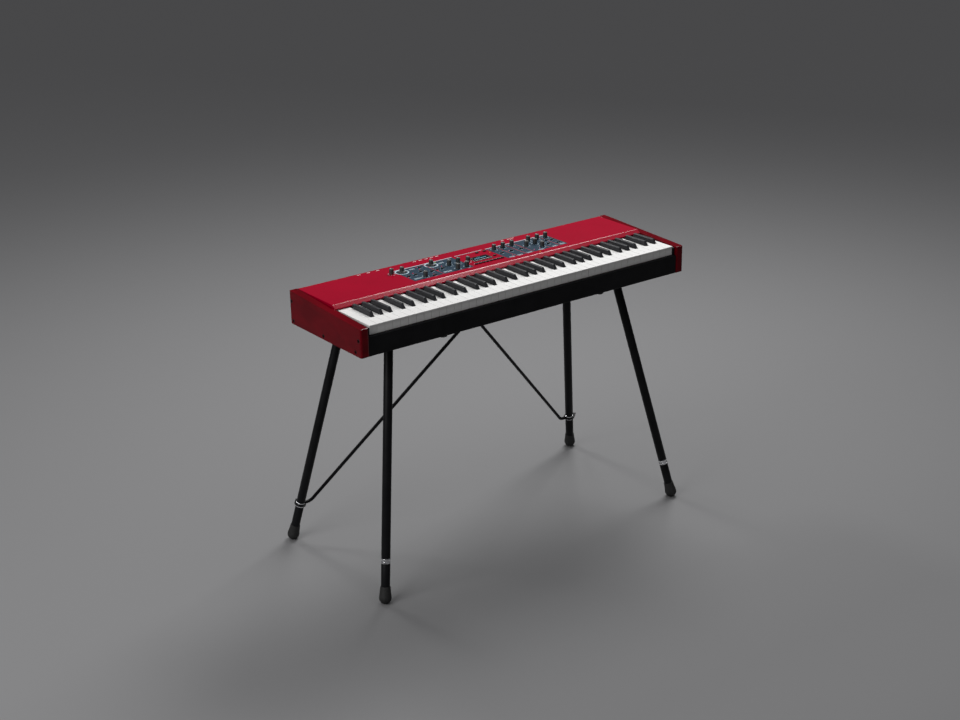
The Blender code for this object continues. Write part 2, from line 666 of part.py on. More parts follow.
def make_key_frame(case):
    """Folded steel key bed: felt shelf in front, floor, upstand under the hinge rod, and two ears."""
    middle = FRAME_SHEET / 2
    floor = SHEET + FIT
    rod_seat = PIVOT_Z - PIVOT_RADIUS - FIT - FRAME_ROD_DROP
    profile = rounded_path([(FRAME_FRONT_Y, floor), (FRAME_FRONT_Y, FRAME_SHELF_HEIGHT - middle),
                            (FRAME_STEP_Y, FRAME_SHELF_HEIGHT - middle), (FRAME_STEP_Y, floor + middle),
                            (PIVOT_Y, floor + middle), (PIVOT_Y, rod_seat)], FRAME_BEND, 2)
    ear_inner = KEYS_WIDTH / 2 + FIT
    ear_outer = ear_inner + FRAME_SHEET
    frame = folded_sheet("key_frame", profile, FRAME_SHEET, ear_outer - FRAME_EAR_OVERHANG, BARE_STEEL, case)
    outline = [(PIVOT_Y - FRAME_EAR_REACH, floor + middle), (PIVOT_Y + FRAME_EAR_REACH, floor + middle),
               (PIVOT_Y + FRAME_EAR_REACH, FRAME_EAR_TOP), (PIVOT_Y - FRAME_EAR_REACH, FRAME_EAR_TOP)]
    ears = [plate(outline, *sorted((side * ear_inner, side * ear_outer)), "X") for side in (-1, 1)]
    combine(frame, gather(ears), "UNION")
    bores = []
    for side in (-1, 1):
        ends = sorted((side * (ear_inner - OVERRUN), side * (ear_outer + OVERRUN)))
        bore = cylinder(around(PIVOT_RADIUS, PIVOT_SIDES), *ends, PIVOT_SIDES, "X")
        bores.append(moved(bore, (0, PIVOT_Y, PIVOT_Z)))
    stud_top = FRAME_SHELF_HEIGHT - 2 * FRAME_SHEET
    stud = cylinder(around(STUD_RADIUS, STUD_SIDES), -OVERRUN, stud_top, STUD_SIDES)
    bores += [moved(stud, (x, y, 0)) for x, y in stand_screw_sites() if y < PIVOT_Y]
    return combine(frame, gather(bores), "DIFFERENCE")


def make_key_rod(case):
    half = KEYS_WIDTH / 2 + FRAME_SHEET + ROD_OVERHANG
    rod = moved(cylinder(PIVOT_RADIUS, -half, half, PIVOT_SIDES, "X"), (0, PIVOT_Y, PIVOT_Z))
    return add_part("key_pivot_rod", rod, BARE_STEEL, case)


def make_felt(case):
    half = KEYS_WIDTH / 2 - FELT_MARGIN
    low = FRAME_SHELF_HEIGHT + FIT
    front = FRAME_FRONT_Y + FELT_MARGIN
    felt = box((-half, front, low), (half, FRAME_STEP_Y - FELT_MARGIN, low + FELT_THICK))
    return add_part("key_rest_felt", felt, FELT_RED, case)


def make_contact_board(case):
    """Key contact board on posts, with the rubber contact strip that the keys come down on."""
    half = KEYS_WIDTH / 2 - FELT_MARGIN
    board = add_part("key_contact_board", box((-half, CONTACT_LOW_Y, CONTACT_BOARD_TOP - BOARD_THICK),
                                              (half, CONTACT_HIGH_Y, CONTACT_BOARD_TOP)), BOARD_GREEN, case)
    middle = (CONTACT_LOW_Y + CONTACT_HIGH_Y) / 2
    strip = box((-half + FELT_MARGIN, middle - CONTACT_STRIP_WIDTH / 2, CONTACT_BOARD_TOP - BOARD_THICK / 2),
                (half - FELT_MARGIN, middle + CONTACT_STRIP_WIDTH / 2, CONTACT_STRIP_TOP))
    combine(board, strip, "UNION")
    post = cylinder(STANDOFF_RADIUS, SHEET + FIT + FRAME_SHEET + FIT, CONTACT_BOARD_TOP - BOARD_THICK / 2, 6)
    inset = 2 * STANDOFF_RADIUS
    posts = [moved(post, (-half + inset + (2 * half - 2 * inset) * n / (CONTACT_POSTS - 1), y, 0))
             for n in range(CONTACT_POSTS) for y in (CONTACT_LOW_Y + inset, CONTACT_HIGH_Y - inset)]
    return combine(board, gather(posts), "UNION")


def make_key_block(name, side, case):
    """Black block that fills the gap between an end key and its cheek."""
    near, far = sorted((side * (KEYS_WIDTH / 2 + FIT), side * SHELL_X))
    block = box((near, RAIL_SETBACK + RAIL_FLANGE + FIT, FLANGE_FRONT_HEIGHT + FIT),
                (far, FALL_FOOT_Y - BLOCK_SETBACK, WHITE_TOP - BLOCK_DROP))
    return bevel(add_part(name, block, BLACK_PLASTIC, case), BLOCK_EDGE, 1)


def white_key(cut_left, cut_right):
    """White key with its left edge at x = 0: a lipped head and skirt, and a slim tail over the rod.

    Each cut is how far the tail is set in on that side, for the black key beside it.
    """
    left = WHITE_GAP / 2
    right = WHITE_PITCH - WHITE_GAP / 2
    head_end = WHITE_FRONT_Y + HEAD_LENGTH
    end = WHITE_COMB_HIGH[0] + COMB_COVER
    tail_foot = PIVOT_Z + PIVOT_RADIUS + FIT
    side = [(WHITE_FRONT_Y, WHITE_TOP), (WHITE_FRONT_Y, WHITE_TOP - WHITE_PLATE),
            (WHITE_FRONT_Y + WHITE_LIP, WHITE_TOP - WHITE_PLATE - WHITE_LIP),
            (WHITE_FRONT_Y + WHITE_LIP, WHITE_FOOT), (head_end, WHITE_FOOT), (head_end, tail_foot),
            (end, tail_foot), (end, WHITE_TOP)]
    key = add_part("white_key", plate(side, left, right, "X"), IVORY)
    below = WHITE_FOOT - OVERRUN
    above = WHITE_TOP + OVERRUN
    shoulder = head_end + WHITE_SHOULDER
    if cut_left:
        notch = box((left - OVERRUN, shoulder, below), (left + cut_left, end + OVERRUN, above))
        combine(key, notch, "DIFFERENCE")
    if cut_right:
        notch = box((right - cut_right, shoulder, below), (right + OVERRUN, end + OVERRUN, above))
        combine(key, notch, "DIFFERENCE")
    return evaluated(key)


def black_key():
    """Black key about x = 0: a tapered cap with a sloping nose, on a body that hooks over the rod."""
    front = WHITE_FRONT_Y + HEAD_LENGTH + BLACK_CLEARANCE
    low = WHITE_TOP - BLACK_CAP_DEPTH
    top = WHITE_TOP + BLACK_RISE
    cap = box((-BLACK_BASE_WIDTH / 2, front, low), (BLACK_BASE_WIDTH / 2, BLACK_CAP_END_Y, top))
    bm = bmesh.new()
    bm.from_mesh(cap)
    crown = [vert for vert in bm.verts if vert.co.z > top - 1e-6]
    ridges = [edge for edge in bm.edges if edge.verts[0] in crown and edge.verts[1] in crown]
    for vert in crown:
        vert.co.x *= BLACK_TOP_WIDTH / BLACK_BASE_WIDTH
        if vert.co.y < front + 1e-6:
            vert.co.y += BLACK_NOSE_SLOPE
        else:
            vert.co.y -= BLACK_REAR_LEAN
            vert.co.z -= BLACK_REAR_DROP
    bmesh.ops.bevel(bm, geom=ridges, offset=BLACK_EDGE, segments=1, affect="EDGES", clamp_overlap=True)
    key = add_part("black_key", to_mesh(bm), EBONY)
    half = BLACK_BODY_WIDTH / 2
    joined = low + BLACK_BODY_SINK
    comb_front = BLACK_COMB_LOW[0] - COMB_COVER
    comb_foot = BLACK_COMB_LOW[1] - COMB_COVER
    slot = PIVOT_RADIUS + FIT
    side = [(front + BLACK_BODY_INSET, BLACK_FOOT), (comb_front, BLACK_FOOT), (comb_front, comb_foot),
            (PIVOT_Y - slot, comb_foot), (PIVOT_Y - slot, PIVOT_Z + slot), (BLACK_END_Y, PIVOT_Z + slot),
            (BLACK_END_Y, joined), (front + BLACK_BODY_INSET, joined)]
    combine(key, plate(side, -half, half, "X"), "UNION")
    return evaluated(key)


def is_black(key):
    return (FIRST_NOTE + key) % 12 in BLACK_SHIFT


def whites_before(key):
    return sum(not is_black(other) for other in range(key))


def black_centre(key):
    line = -KEYS_WIDTH / 2 + whites_before(key) * WHITE_PITCH
    return line + BLACK_SHIFT[(FIRST_NOTE + key) % 12]


def white_cuts(key, left_edge):
    """How far a white key's tail is cut in on each side, for the black keys beside it."""
    reach = BLACK_BASE_WIDTH / 2 + BLACK_CLEARANCE
    left = left_edge + WHITE_GAP / 2
    right = left_edge + WHITE_PITCH - WHITE_GAP / 2
    cut_left = black_centre(key - 1) + reach - left if key > 0 and is_black(key - 1) else 0.0
    cut_right = right - black_centre(key + 1) + reach if key + 1 < KEY_COUNT and is_black(key + 1) else 0.0
    return round(cut_left, 6), round(cut_right, 6)


def key_set(name, keys, low, high, finish, case):
    """Keys of one colour and register, joined by the comb bar behind them and hung on the rod."""
    turn = Matrix.Translation((0, PIVOT_Y, PIVOT_Z))
    comb = moved(box(low, high), (0, -PIVOT_Y, -PIVOT_Z))
    return combine(add_part(name, comb, finish, case, turn), gather(keys), "UNION")


def make_keys(case):
    """White and black keys of each register, with their origins on the rod that they turn about."""
    shapes = {}
    black = black_key()
    for register, first, last in REGISTERS:
        whites = []
        blacks = []
        for key in range(first, last):
            if is_black(key):
                blacks.append(moved(black, (black_centre(key), -PIVOT_Y, -PIVOT_Z)))
                continue
            left_edge = -KEYS_WIDTH / 2 + whites_before(key) * WHITE_PITCH
            cuts = white_cuts(key, left_edge)
            if cuts not in shapes:
                shapes[cuts] = white_key(*cuts)
            whites.append(moved(shapes[cuts], (left_edge, -PIVOT_Y, -PIVOT_Z)))
        comb_left = -KEYS_WIDTH / 2 + whites_before(first) * WHITE_PITCH + WHITE_GAP
        comb_right = -KEYS_WIDTH / 2 + whites_before(last) * WHITE_PITCH - WHITE_GAP
        key_set("white_keys_" + register, whites, (comb_left, *WHITE_COMB_LOW),
                (comb_right, *WHITE_COMB_HIGH), IVORY, case)
        centres = [black_centre(key) for key in range(first, last) if is_black(key)]
        key_set("black_keys_" + register, blacks, (centres[0], *BLACK_COMB_LOW),
                (centres[-1], *BLACK_COMB_HIGH), EBONY, case)


def knob_mesh(skirted):
    """Turned knob and shaft about Z, with z = 0 at the panel's top face."""
    top = KNOB_LIFT + KNOB_HEIGHT
    crown = KNOB_RADIUS - KNOB_TAPER
    profile = [(0, top), (crown, top)]
    if skirted:
        rim = KNOB_LIFT + SKIRT_HEIGHT
        profile += [(KNOB_RADIUS, rim + SKIRT_CONE), (SKIRT_RADIUS - SKIRT_EDGE, rim),
                    (SKIRT_RADIUS, KNOB_LIFT)]
    else:
        profile += [(KNOB_RADIUS, KNOB_LIFT)]
    foot = ENCODER_TOP - PANEL_HEIGHT + FIT
    return turned_mesh([*profile, (SHAFT_RADIUS, KNOB_LIFT), (SHAFT_RADIUS, foot), (0, foot)], KNOB_SIDES)


def make_knobs(case):
    """Rotary controls, each with its own origin on its shaft and a pointer groove in its crown."""
    top = KNOB_LIFT + KNOB_HEIGHT
    groove = box((-POINTER_WIDTH / 2, POINTER_START, top - POINTER_DEPTH),
                 (POINTER_WIDTH / 2, KNOB_RADIUS + OVERRUN, top + OVERRUN))
    for sites, skirted in ((SMALL_KNOBS, False), (SKIRTED_KNOBS, True)):
        shape = knob_mesh(skirted)
        for name, (x, y) in sites.items():
            place = Matrix.Translation((x, y, PANEL_HEIGHT))
            knob = add_part(name, shape.copy(), BLACK_PLASTIC, case, place)
            combine(knob, groove.copy(), "DIFFERENCE")


def runner(start, end):
    """Moulded runner between two buttons, ending inside both."""
    length = (Vector(end) - Vector(start)).length
    bar = box((0, -RUNNER_WIDTH / 2, PANEL_HEIGHT - RUNNER_LOW),
              (length, RUNNER_WIDTH / 2, PANEL_HEIGHT - RUNNER_HIGH))
    aim = math.atan2(end[1] - start[1], end[0] - start[0])
    return moved(bar, (*start, 0), Matrix.Rotation(aim, 4, "Z"))


def make_buttons(case):
    """One moulding for each part of the panel: caps that stand through it, joined by runners below."""
    cap = box((-BUTTON_LENGTH / 2, -BUTTON_WIDTH / 2, PANEL_HEIGHT - BUTTON_BOTTOM),
              (BUTTON_LENGTH / 2, BUTTON_WIDTH / 2, PANEL_HEIGHT + BUTTON_RISE))
    for name, chains in BUTTON_CHAINS.items():
        caps = gather([moved(cap, (x, y, 0)) for x, y in chain_sites(chains)])
        moulding = add_part(name, caps, BUTTON_PLASTIC, case)
        for chain in chains:
            for start, end in zip(chain, chain[1:]):
                combine(moulding, runner(start, end), "UNION")


def make_window(case):
    low = (*WINDOW_LOW, PANEL_HEIGHT + FIT)
    high = (*WINDOW_HIGH, PANEL_HEIGHT + FIT + WINDOW_THICK)
    return bevel(add_part("display_window", box(low, high), SCREEN, case), WINDOW_EDGE, 1)


def make_control_board(case):
    """Circuit board hung under the panel, with encoders, key switches, screen and standoffs."""
    board = add_part("control_board", box((*BOARD_LOW, BOARD_TOP - BOARD_THICK), (*BOARD_HIGH, BOARD_TOP)),
                     BOARD_GREEN, case)
    sunk = BOARD_TOP - BOARD_THICK / 2
    half = ENCODER_SIDE / 2
    encoder = box((-half, -half, sunk), (half, half, ENCODER_TOP))
    half = SWITCH_SIDE / 2
    switch = box((-half, -half, sunk), (half, half, BOARD_TOP + SWITCH_HEIGHT))
    standoff = cylinder(STANDOFF_RADIUS, sunk, PANEL_UNDER - FIT, 6)
    screen = box((WINDOW_LOW[0] + SCREEN_INSET, WINDOW_LOW[1] + SCREEN_INSET, sunk),
                 (WINDOW_HIGH[0] - SCREEN_INSET, WINDOW_HIGH[1] - SCREEN_INSET, PANEL_UNDER - FIT))
    xs = (BOARD_LOW[0] + STANDOFF_INSET, STANDOFF_MIDDLE_X, BOARD_HIGH[0] - STANDOFF_INSET)
    ys = (BOARD_LOW[1] + STANDOFF_FRONT_INSET, BOARD_HIGH[1] - STANDOFF_INSET)
    fittings = [moved(encoder, (x, y, 0)) for x, y in knob_sites()]
    fittings += [moved(switch, (x, y, 0)) for x, y in button_sites()]
    fittings += [moved(standoff, (x, y, 0)) for x in xs for y in ys]
    combine(board, gather([*fittings, screen]), "UNION")
    return board


def make_main_board(case):
    """Sound board on standoffs behind the key bed, with its shielded supply box."""
    level = SHEET + FIT + MAIN_BOARD_LIFT
    board = add_part("main_board", box((*MAIN_BOARD_LOW, level), (*MAIN_BOARD_HIGH, level + BOARD_THICK)),
                     BOARD_GREEN, case)
    post = cylinder(STANDOFF_RADIUS, SHEET + FIT, level + BOARD_THICK / 2, 8)
    inset = MAIN_POST_INSET
    posts = [moved(post, (x, y, 0)) for x in (MAIN_BOARD_LOW[0] + inset, MAIN_BOARD_HIGH[0] - inset)
             for y in (MAIN_BOARD_LOW[1] + inset, MAIN_BOARD_HIGH[1] - inset)]
    end = MAIN_BOARD_HIGH[0] - SUPPLY_END_GAP
    can = box((end - SUPPLY_LENGTH, MAIN_BOARD_LOW[1] + SUPPLY_FRONT_GAP, level + BOARD_THICK / 2),
              (end, MAIN_BOARD_HIGH[1] - SUPPLY_REAR_GAP, level + SUPPLY_HEIGHT))
    return combine(board, gather([*posts, can]), "UNION")


def make_jack_board(case):
    """Quarter-inch jack sockets on their board: nut outside the wall, barrel through it, body inside."""
    wall_in = -SHEET - FIT
    nut = FIT + JACK_NUT_DEPTH
    bottom = JACK_END_WALL - JACK_BODY_DEPTH
    jack = turned_mesh([(0, bottom), (JACK_BORE_RADIUS, bottom), (JACK_BORE_RADIUS, nut),
                        (JACK_NUT_RADIUS, nut), (JACK_NUT_RADIUS, FIT), (JACK_BARREL_RADIUS, FIT),
                        (JACK_BARREL_RADIUS, wall_in), (JACK_BODY_RADIUS, wall_in),
                        (JACK_BODY_RADIUS, -JACK_BODY_DEPTH), (0, -JACK_BODY_DEPTH)], JACK_SIDES)
    back = REAR_FACE_Y - JACK_BODY_DEPTH + JACK_SINK
    board = box((JACK_SITES[0] - JACK_BOARD_MARGIN, back - BOARD_THICK, JACK_HEIGHT - JACK_BOARD_HEIGHT / 2),
                (JACK_SITES[-1] + JACK_BOARD_MARGIN, back, JACK_HEIGHT + JACK_BOARD_HEIGHT / 2))
    turn = Matrix.Rotation(-math.pi / 2, 4, "X")
    jacks = [moved(jack, (x, REAR_FACE_Y, JACK_HEIGHT), turn) for x in JACK_SITES]
    return combine(add_part("jack_board", board, BARE_STEEL, case), gather(jacks), "UNION")


def make_power_module(case):
    """Power inlet with its three pins, and beside it the well of the rocker switch."""
    out = REAR_FACE_Y + FIT
    low = JACK_HEIGHT - MODULE_HEIGHT / 2
    high = JACK_HEIGHT + MODULE_HEIGHT / 2
    rim = box((MODULE_X[0] - INLET_RIM, out, low - INLET_RIM),
              (MODULE_X[1] + INLET_RIM, out + INLET_RIM_DEPTH, high + INLET_RIM))
    module = bevel(add_part("power_inlet", rim, BLACK_PLASTIC, case), INLET_EDGE, 1)
    floor = out - INLET_DEPTH
    back = floor - INLET_BACK
    combine(module, box((MODULE_X[0], back, low), (MODULE_X[1], out + INLET_RIM_DEPTH / 2, high)), "UNION")
    clear = out + INLET_RIM_DEPTH + OVERRUN
    inlet = box((INLET_X - INLET_WIDTH / 2, floor, JACK_HEIGHT - INLET_HEIGHT / 2),
                (INLET_X + INLET_WIDTH / 2, clear, JACK_HEIGHT + INLET_HEIGHT / 2))
    rocker = box((ROCKER_X - ROCKER_WIDTH / 2, out - ROCKER_WELL_DEPTH, JACK_HEIGHT - ROCKER_HEIGHT / 2),
                 (ROCKER_X + ROCKER_WIDTH / 2, clear, JACK_HEIGHT + ROCKER_HEIGHT / 2))
    combine(module, gather([inlet, rocker]), "DIFFERENCE")
    width, height = PIN_SIZE
    pin = box((-width / 2, (floor + back) / 2, -height / 2), (width / 2, out - PIN_DROP, height / 2))
    pins = [moved(pin, (INLET_X + PIN_SPREAD * n, 0, JACK_HEIGHT + PIN_STAGGER * (1 - 2 * abs(n))))
            for n in (-1, 0, 1)]
    return combine(module, gather(pins), "UNION")


def make_rocker(case):
    """Power rocker, tilted to one side, with its origin on the axis that it rocks on."""
    half_x = ROCKER_WIDTH / 2 - FIT
    half_z = ROCKER_HEIGHT / 2 - ROCKER_END_GAP
    back_z = half_z * ROCKER_BACK_SHARE
    outline = [(-ROCKER_DEPTH, -back_z), (0.0, -half_z), (ROCKER_RISE, -half_z),
               (ROCKER_WAIST, 0.0), (ROCKER_RISE, half_z), (0.0, half_z), (-ROCKER_DEPTH, back_z)]
    place = Matrix.Translation((ROCKER_X, REAR_FACE_Y - ROCKER_PIVOT_DROP, JACK_HEIGHT))
    return add_part("power_rocker", plate(outline, -half_x, half_x, "X"), BLACK_PLASTIC, case,
                    place @ Matrix.Rotation(ROCKER_TILT, 4, "X"))


def stand_screw_sites():
    """Thumb screws in the case frame: two for each leg bracket and two for the strut plate."""
    sites = [(side * STAND_SCREW_X, y) for side in (-1, 1) for y in STAND_SCREW_YS]
    return sites + [(side * STRUT_SCREW_X, STAND_TO_FRONT + strut_plate_y()) for side in (-1, 1)]


def add_thumb_screws(base, places):
    """Star-headed thumb screws that hold a plate of the stand to the case."""
    seat = CASE_HEIGHT - FIT - PLATE_THICK
    outline = []
    per_lobe = 2
    for step in range(STAR_LOBES * per_lobe):
        turn = 2 * math.pi * step / (STAR_LOBES * per_lobe)
        radius = STAR_RADIUS * (1 - STAR_WAIST * (1 - math.cos(STAR_LOBES * turn)) / 2)
        outline.append((radius * math.cos(turn), radius * math.sin(turn)))
    head = plate(outline, seat - STAR_HEIGHT, seat + PLATE_THICK / 2, "Z")
    stud = cylinder(STUD_RADIUS, seat + PLATE_THICK / 4, CASE_HEIGHT + STUD_REACH, STUD_SIDES)
    combine(base, gather([moved(head, (x, y, 0)) for x, y in places]), "UNION")
    return combine(base, gather([moved(stud, (x, y, 0)) for x, y in places]), "UNION")


def leg_matrix(side_x, side_y):
    """Frame on a leg's axis at its collar, with Z up along the leg."""
    foot = Vector((side_x * FOOT_X, side_y * FOOT_Y, 0))
    top = Vector((side_x * LEG_TOP_X, side_y * LEG_TOP_Y, CASE_HEIGHT - LEG_TOP_DROP))
    up = (top - foot).normalized()
    across = Vector((0, 0, 1)).cross(up).normalized()
    turn = Matrix((across, up.cross(across), up)).transposed().to_4x4()
    return Matrix.Translation(foot + up * COLLAR_UP) @ turn


def along_leg(drop):
    """Distance along the leg from the collar to a height given as a drop below the case."""
    return (CASE_HEIGHT - drop) / LEG_SLOPE - COLLAR_UP


def make_bracket(name, side):
    """Steel bracket under one end of the case, with a welded socket for each leg."""
    low = (side * (PLATE_INNER_X + PLATE_OUTER_X) / 2 - (PLATE_OUTER_X - PLATE_INNER_X) / 2, -PLATE_FRONT)
    high = (low[0] + PLATE_OUTER_X - PLATE_INNER_X, PLATE_REAR)
    top = CASE_HEIGHT - FIT
    outline = rounded_rectangle(low, high, PLATE_CORNER, 3)
    bracket = add_part(name, plate(outline, top - PLATE_THICK, top, "Z"), BLACK_STEEL)
    socket = cylinder(SOCKET_RADIUS, along_leg(SOCKET_DROP), along_leg(-SOCKET_OVERRUN), TUBE_SIDES)
    hole = around(TUBE_RADIUS, TUBE_SIDES)
    bore = cylinder(hole, along_leg(SOCKET_DROP + OVERRUN), leg_end() + FIT, TUBE_SIDES)
    legs = [leg_matrix(side, side_y) for side_y in (-1, 1)]
    combine(bracket, gather([moved(socket, turn=leg) for leg in legs]), "UNION")
    margin = 2 * SOCKET_RADIUS
    trim = box((low[0] - margin, low[1] - margin, top), (high[0] + margin, high[1] + margin, top + margin))
    combine(bracket, trim, "DIFFERENCE")
    combine(bracket, gather([moved(bore, turn=leg) for leg in legs]), "DIFFERENCE")
    places = [(side * STAND_SCREW_X, y - STAND_TO_FRONT) for y in STAND_SCREW_YS]
    return add_thumb_screws(bracket, places)


def leg_end():
    """Top of the leg tube, just under the bracket plate when leaning."""
    lean = math.sqrt(1 - LEG_SLOPE ** 2)
    return along_leg(FIT + PLATE_THICK + FIT + TUBE_RADIUS * lean)


def make_leg(name, frame):
    low = COLLAR_GROOVE / 2 + COLLAR_RING + FIT
    inner = TUBE_RADIUS - TUBE_WALL
    tube = turned_mesh([(inner, leg_end()), (TUBE_RADIUS, leg_end()), (TUBE_RADIUS, low), (inner, low)],
                       TUBE_SIDES, True)
    return add_part(name, tube, BLACK_STEEL, matrix=frame)


def collar_mesh():
    """Chrome collar: neck inside the tube, two polished rings with a groove between them."""
    half = COLLAR_GROOVE / 2
    edge = half + COLLAR_RING
    inner = ROD_RADIUS + COLLAR_CLEARANCE
    neck = TUBE_RADIUS - TUBE_WALL - COLLAR_CLEARANCE
    return turned_mesh([(inner, edge + COLLAR_NECK), (neck, edge + COLLAR_NECK), (neck, edge),
                        (COLLAR_RADIUS, edge), (COLLAR_RADIUS, half), (neck, half), (neck, -half),
                        (COLLAR_RADIUS, -half), (COLLAR_RADIUS, -edge), (inner, -edge)],
                       TUBE_SIDES, True)


def make_lower_leg(name, frame):
    """Height adjuster: rod that slides in the leg, sleeve as wide as the tube, and flared rubber boot.

    The boot's rounded sole is pressed flat where it meets the floor.
    """
    shoulder = -COLLAR_GROOVE / 2 - COLLAR_RING - FIT
    centre = (BOOT_RADIUS - BOOT_FLAT) / LEG_SLOPE - COLLAR_UP
    boot = BOOT_HEIGHT - COLLAR_UP
    profile = [(0, ROD_REACH), (ROD_RADIUS, ROD_REACH),
               (ROD_RADIUS, shoulder), (TUBE_RADIUS, shoulder), (TUBE_RADIUS, boot), (BOOT_TOP_RADIUS, boot)]
    steps = 3
    for step in range(steps):
        turn = math.pi / 2 * step / steps
        profile.append((BOOT_RADIUS * math.cos(turn), centre - BOOT_RADIUS * math.sin(turn)))
    profile.append((0, centre - BOOT_RADIUS))
    leg = add_part(name, turned_mesh(profile, TUBE_SIDES), BLACK_STEEL, matrix=frame)
    ground = box((-1, -1, -0.1), (1, 1, 0))
    ground.transform(frame.inverted())
    return combine(leg, ground, "DIFFERENCE")


def make_legs():
    """Four legs, each a tube, a chrome collar and a height adjuster."""
    for name, side_x, side_y in (("front_left", -1, -1), ("front_right", 1, -1),
                                 ("rear_left", -1, 1), ("rear_right", 1, 1)):
        frame = leg_matrix(side_x, side_y)
        make_leg("leg_" + name, frame)
        add_part("leg_collar_" + name, collar_mesh(), CHROME, matrix=frame)
        make_lower_leg("lower_leg_" + name, frame)


def strut_cross(side):
    """Where a strut passes the other one; the two lie side by side there."""
    apart = STRUT_RADIUS + STRUT_PASSING_GAP
    return Vector((0, STRUT_CROSS_Y + side * apart, CASE_HEIGHT - STRUT_CROSS_DROP))


def strut_corners(side):
    """Strut's corners from the leg's collar, through the crossing, to its socket under the case."""
    collar = leg_matrix(side, 1).translation
    start = collar + Vector((-side * (TUBE_RADIUS + STRUT_START_GAP), 0, 0))
    low = collar + Vector((-side * STRUT_LEVEL_RUN, 0, 0))
    cross = strut_cross(side)
    rise = (CASE_HEIGHT - STRUT_TOP_DROP - low.z) / (cross.z - low.z)
    high = low + (cross - low) * rise
    end = Vector((high.x, high.y, CASE_HEIGHT - STRUT_TOP_INSET))
    return start, low, high, end


def strut_plate_y():
    return (strut_corners(-1)[3].y + strut_corners(1)[3].y) / 2


def tube_mesh(path, radius):
    curve = bpy.data.curves.new("rod", "CURVE")
    curve.dimensions = "3D"
    curve.bevel_depth = radius
    curve.bevel_resolution = 2
    curve.use_fill_caps = True
    spline = curve.splines.new("POLY")
    spline.points.add(len(path) - 1)
    for point, place in zip(spline.points, path):
        point.co = (*place, 1)
    holder = bpy.data.objects.new("rod", curve)
    bpy.data.collections["cutters"].objects.link(holder)
    bm = bmesh.new()
    bm.from_mesh(evaluated(holder))
    bmesh.ops.remove_doubles(bm, verts=bm.verts, dist=1e-6)
    return smooth(to_mesh(bm))


def make_strut(name, side, tab_towards):
    """Bent rod with a pointed ring that sits in the groove of the rear leg's collar."""
    rod = tube_mesh(rounded_path(strut_corners(side), STRUT_BEND, 4), STRUT_RADIUS)
    strut = add_part(name, rod, BLACK_STEEL)
    frame = leg_matrix(side, 1)
    tab = (frame.to_3x3().inverted() @ Vector(tab_towards)).to_2d().normalized()
    aim = math.atan2(tab.y, tab.x)
    spread = math.acos(STRUT_RING_RADIUS / STRUT_TAB_REACH)
    steps = 12
    outline = [(STRUT_TAB_REACH * tab.x, STRUT_TAB_REACH * tab.y)]
    for step in range(steps + 1):
        turn = aim + spread + (2 * math.pi - 2 * spread) * step / steps
        outline.append((STRUT_RING_RADIUS * math.cos(turn), STRUT_RING_RADIUS * math.sin(turn)))
    half = COLLAR_GROOVE / 2 - FIT
    ring = plate(outline, -half, half, "Z")
    combine(strut, moved(ring, turn=frame), "UNION")
    neck = TUBE_RADIUS - TUBE_WALL - COLLAR_CLEARANCE
    hole = cylinder(around(neck, TUBE_SIDES), -COLLAR_GROOVE, COLLAR_GROOVE, TUBE_SIDES)
    clear = around(COLLAR_RADIUS, TUBE_SIDES)
    reach = half + 2 * STRUT_RADIUS + OVERRUN
    clear_up = cylinder(clear, half, reach, TUBE_SIDES)
    clear_down = cylinder(clear, -reach, -half, TUBE_SIDES)
    combine(strut, moved(hole, turn=frame), "DIFFERENCE")
    return combine(strut, gather([moved(clear_up, turn=frame), moved(clear_down, turn=frame)]), "DIFFERENCE")


def make_strut_plate():
    """Plate under the middle of the case with a socket for the top of each strut."""
    top = CASE_HEIGHT - FIT
    length, width = STRUT_PLATE_SIZE
    y = strut_plate_y()
    outline = rounded_rectangle((-length / 2, y - width / 2), (length / 2, y + width / 2), PLATE_CORNER, 3)
    base = add_part("strut_plate", plate(outline, top - PLATE_THICK, top, "Z"), BLACK_STEEL)
    ends = [strut_corners(side)[3] for side in (-1, 1)]
    boss = cylinder(STRUT_BOSS_RADIUS, top - STRUT_BOSS_DROP, top - PLATE_THICK / 2, BOSS_SIDES)
    bore = cylinder(around(STRUT_RADIUS, BOSS_SIDES), top - STRUT_BOSS_DROP - OVERRUN,
                    CASE_HEIGHT - STRUT_TOP_INSET + FIT, BOSS_SIDES)
    combine(base, gather([moved(boss, (end.x, end.y, 0)) for end in ends]), "UNION")
    combine(base, gather([moved(bore, (end.x, end.y, 0)) for end in ends]), "DIFFERENCE")
    return add_thumb_screws(base, [(side * STRUT_SCREW_X, y) for side in (-1, 1)])


def build():
    start_clean()
    case = case_frame()
    make_cheek("left_cheek", -1, case)
    make_cheek("right_cheek", 1, case)
    make_top_panel(case)
    make_base_pan(case)
    make_key_frame(case)
    make_key_rod(case)
    make_felt(case)
    make_contact_board(case)
    make_key_block("key_block_left", -1, case)
    make_key_block("key_block_right", 1, case)
    make_keys(case)
    make_knobs(case)
    make_buttons(case)
    make_window(case)
    make_control_board(case)
    make_main_board(case)
    make_jack_board(case)
    make_power_module(case)
    make_rocker(case)
    make_bracket("bracket_left", -1)
    make_bracket("bracket_right", 1)
    make_legs()
    make_strut("strut_left", -1, (0, 1, 0))
    make_strut("strut_right", 1, (1, 0, 0))
    make_strut_plate()


build()
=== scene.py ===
# %% [markdown]
# A stage piano on its tubular stand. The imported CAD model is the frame: it fixes every size and
# joint. This lesson gives its pieces their paint, wood, plastic and chrome, and models the small
# things that the CAD leaves out, such as screws, printed marks, lamps and knob pointers.

import json
import math

import bpy
from mathutils import Matrix, Vector

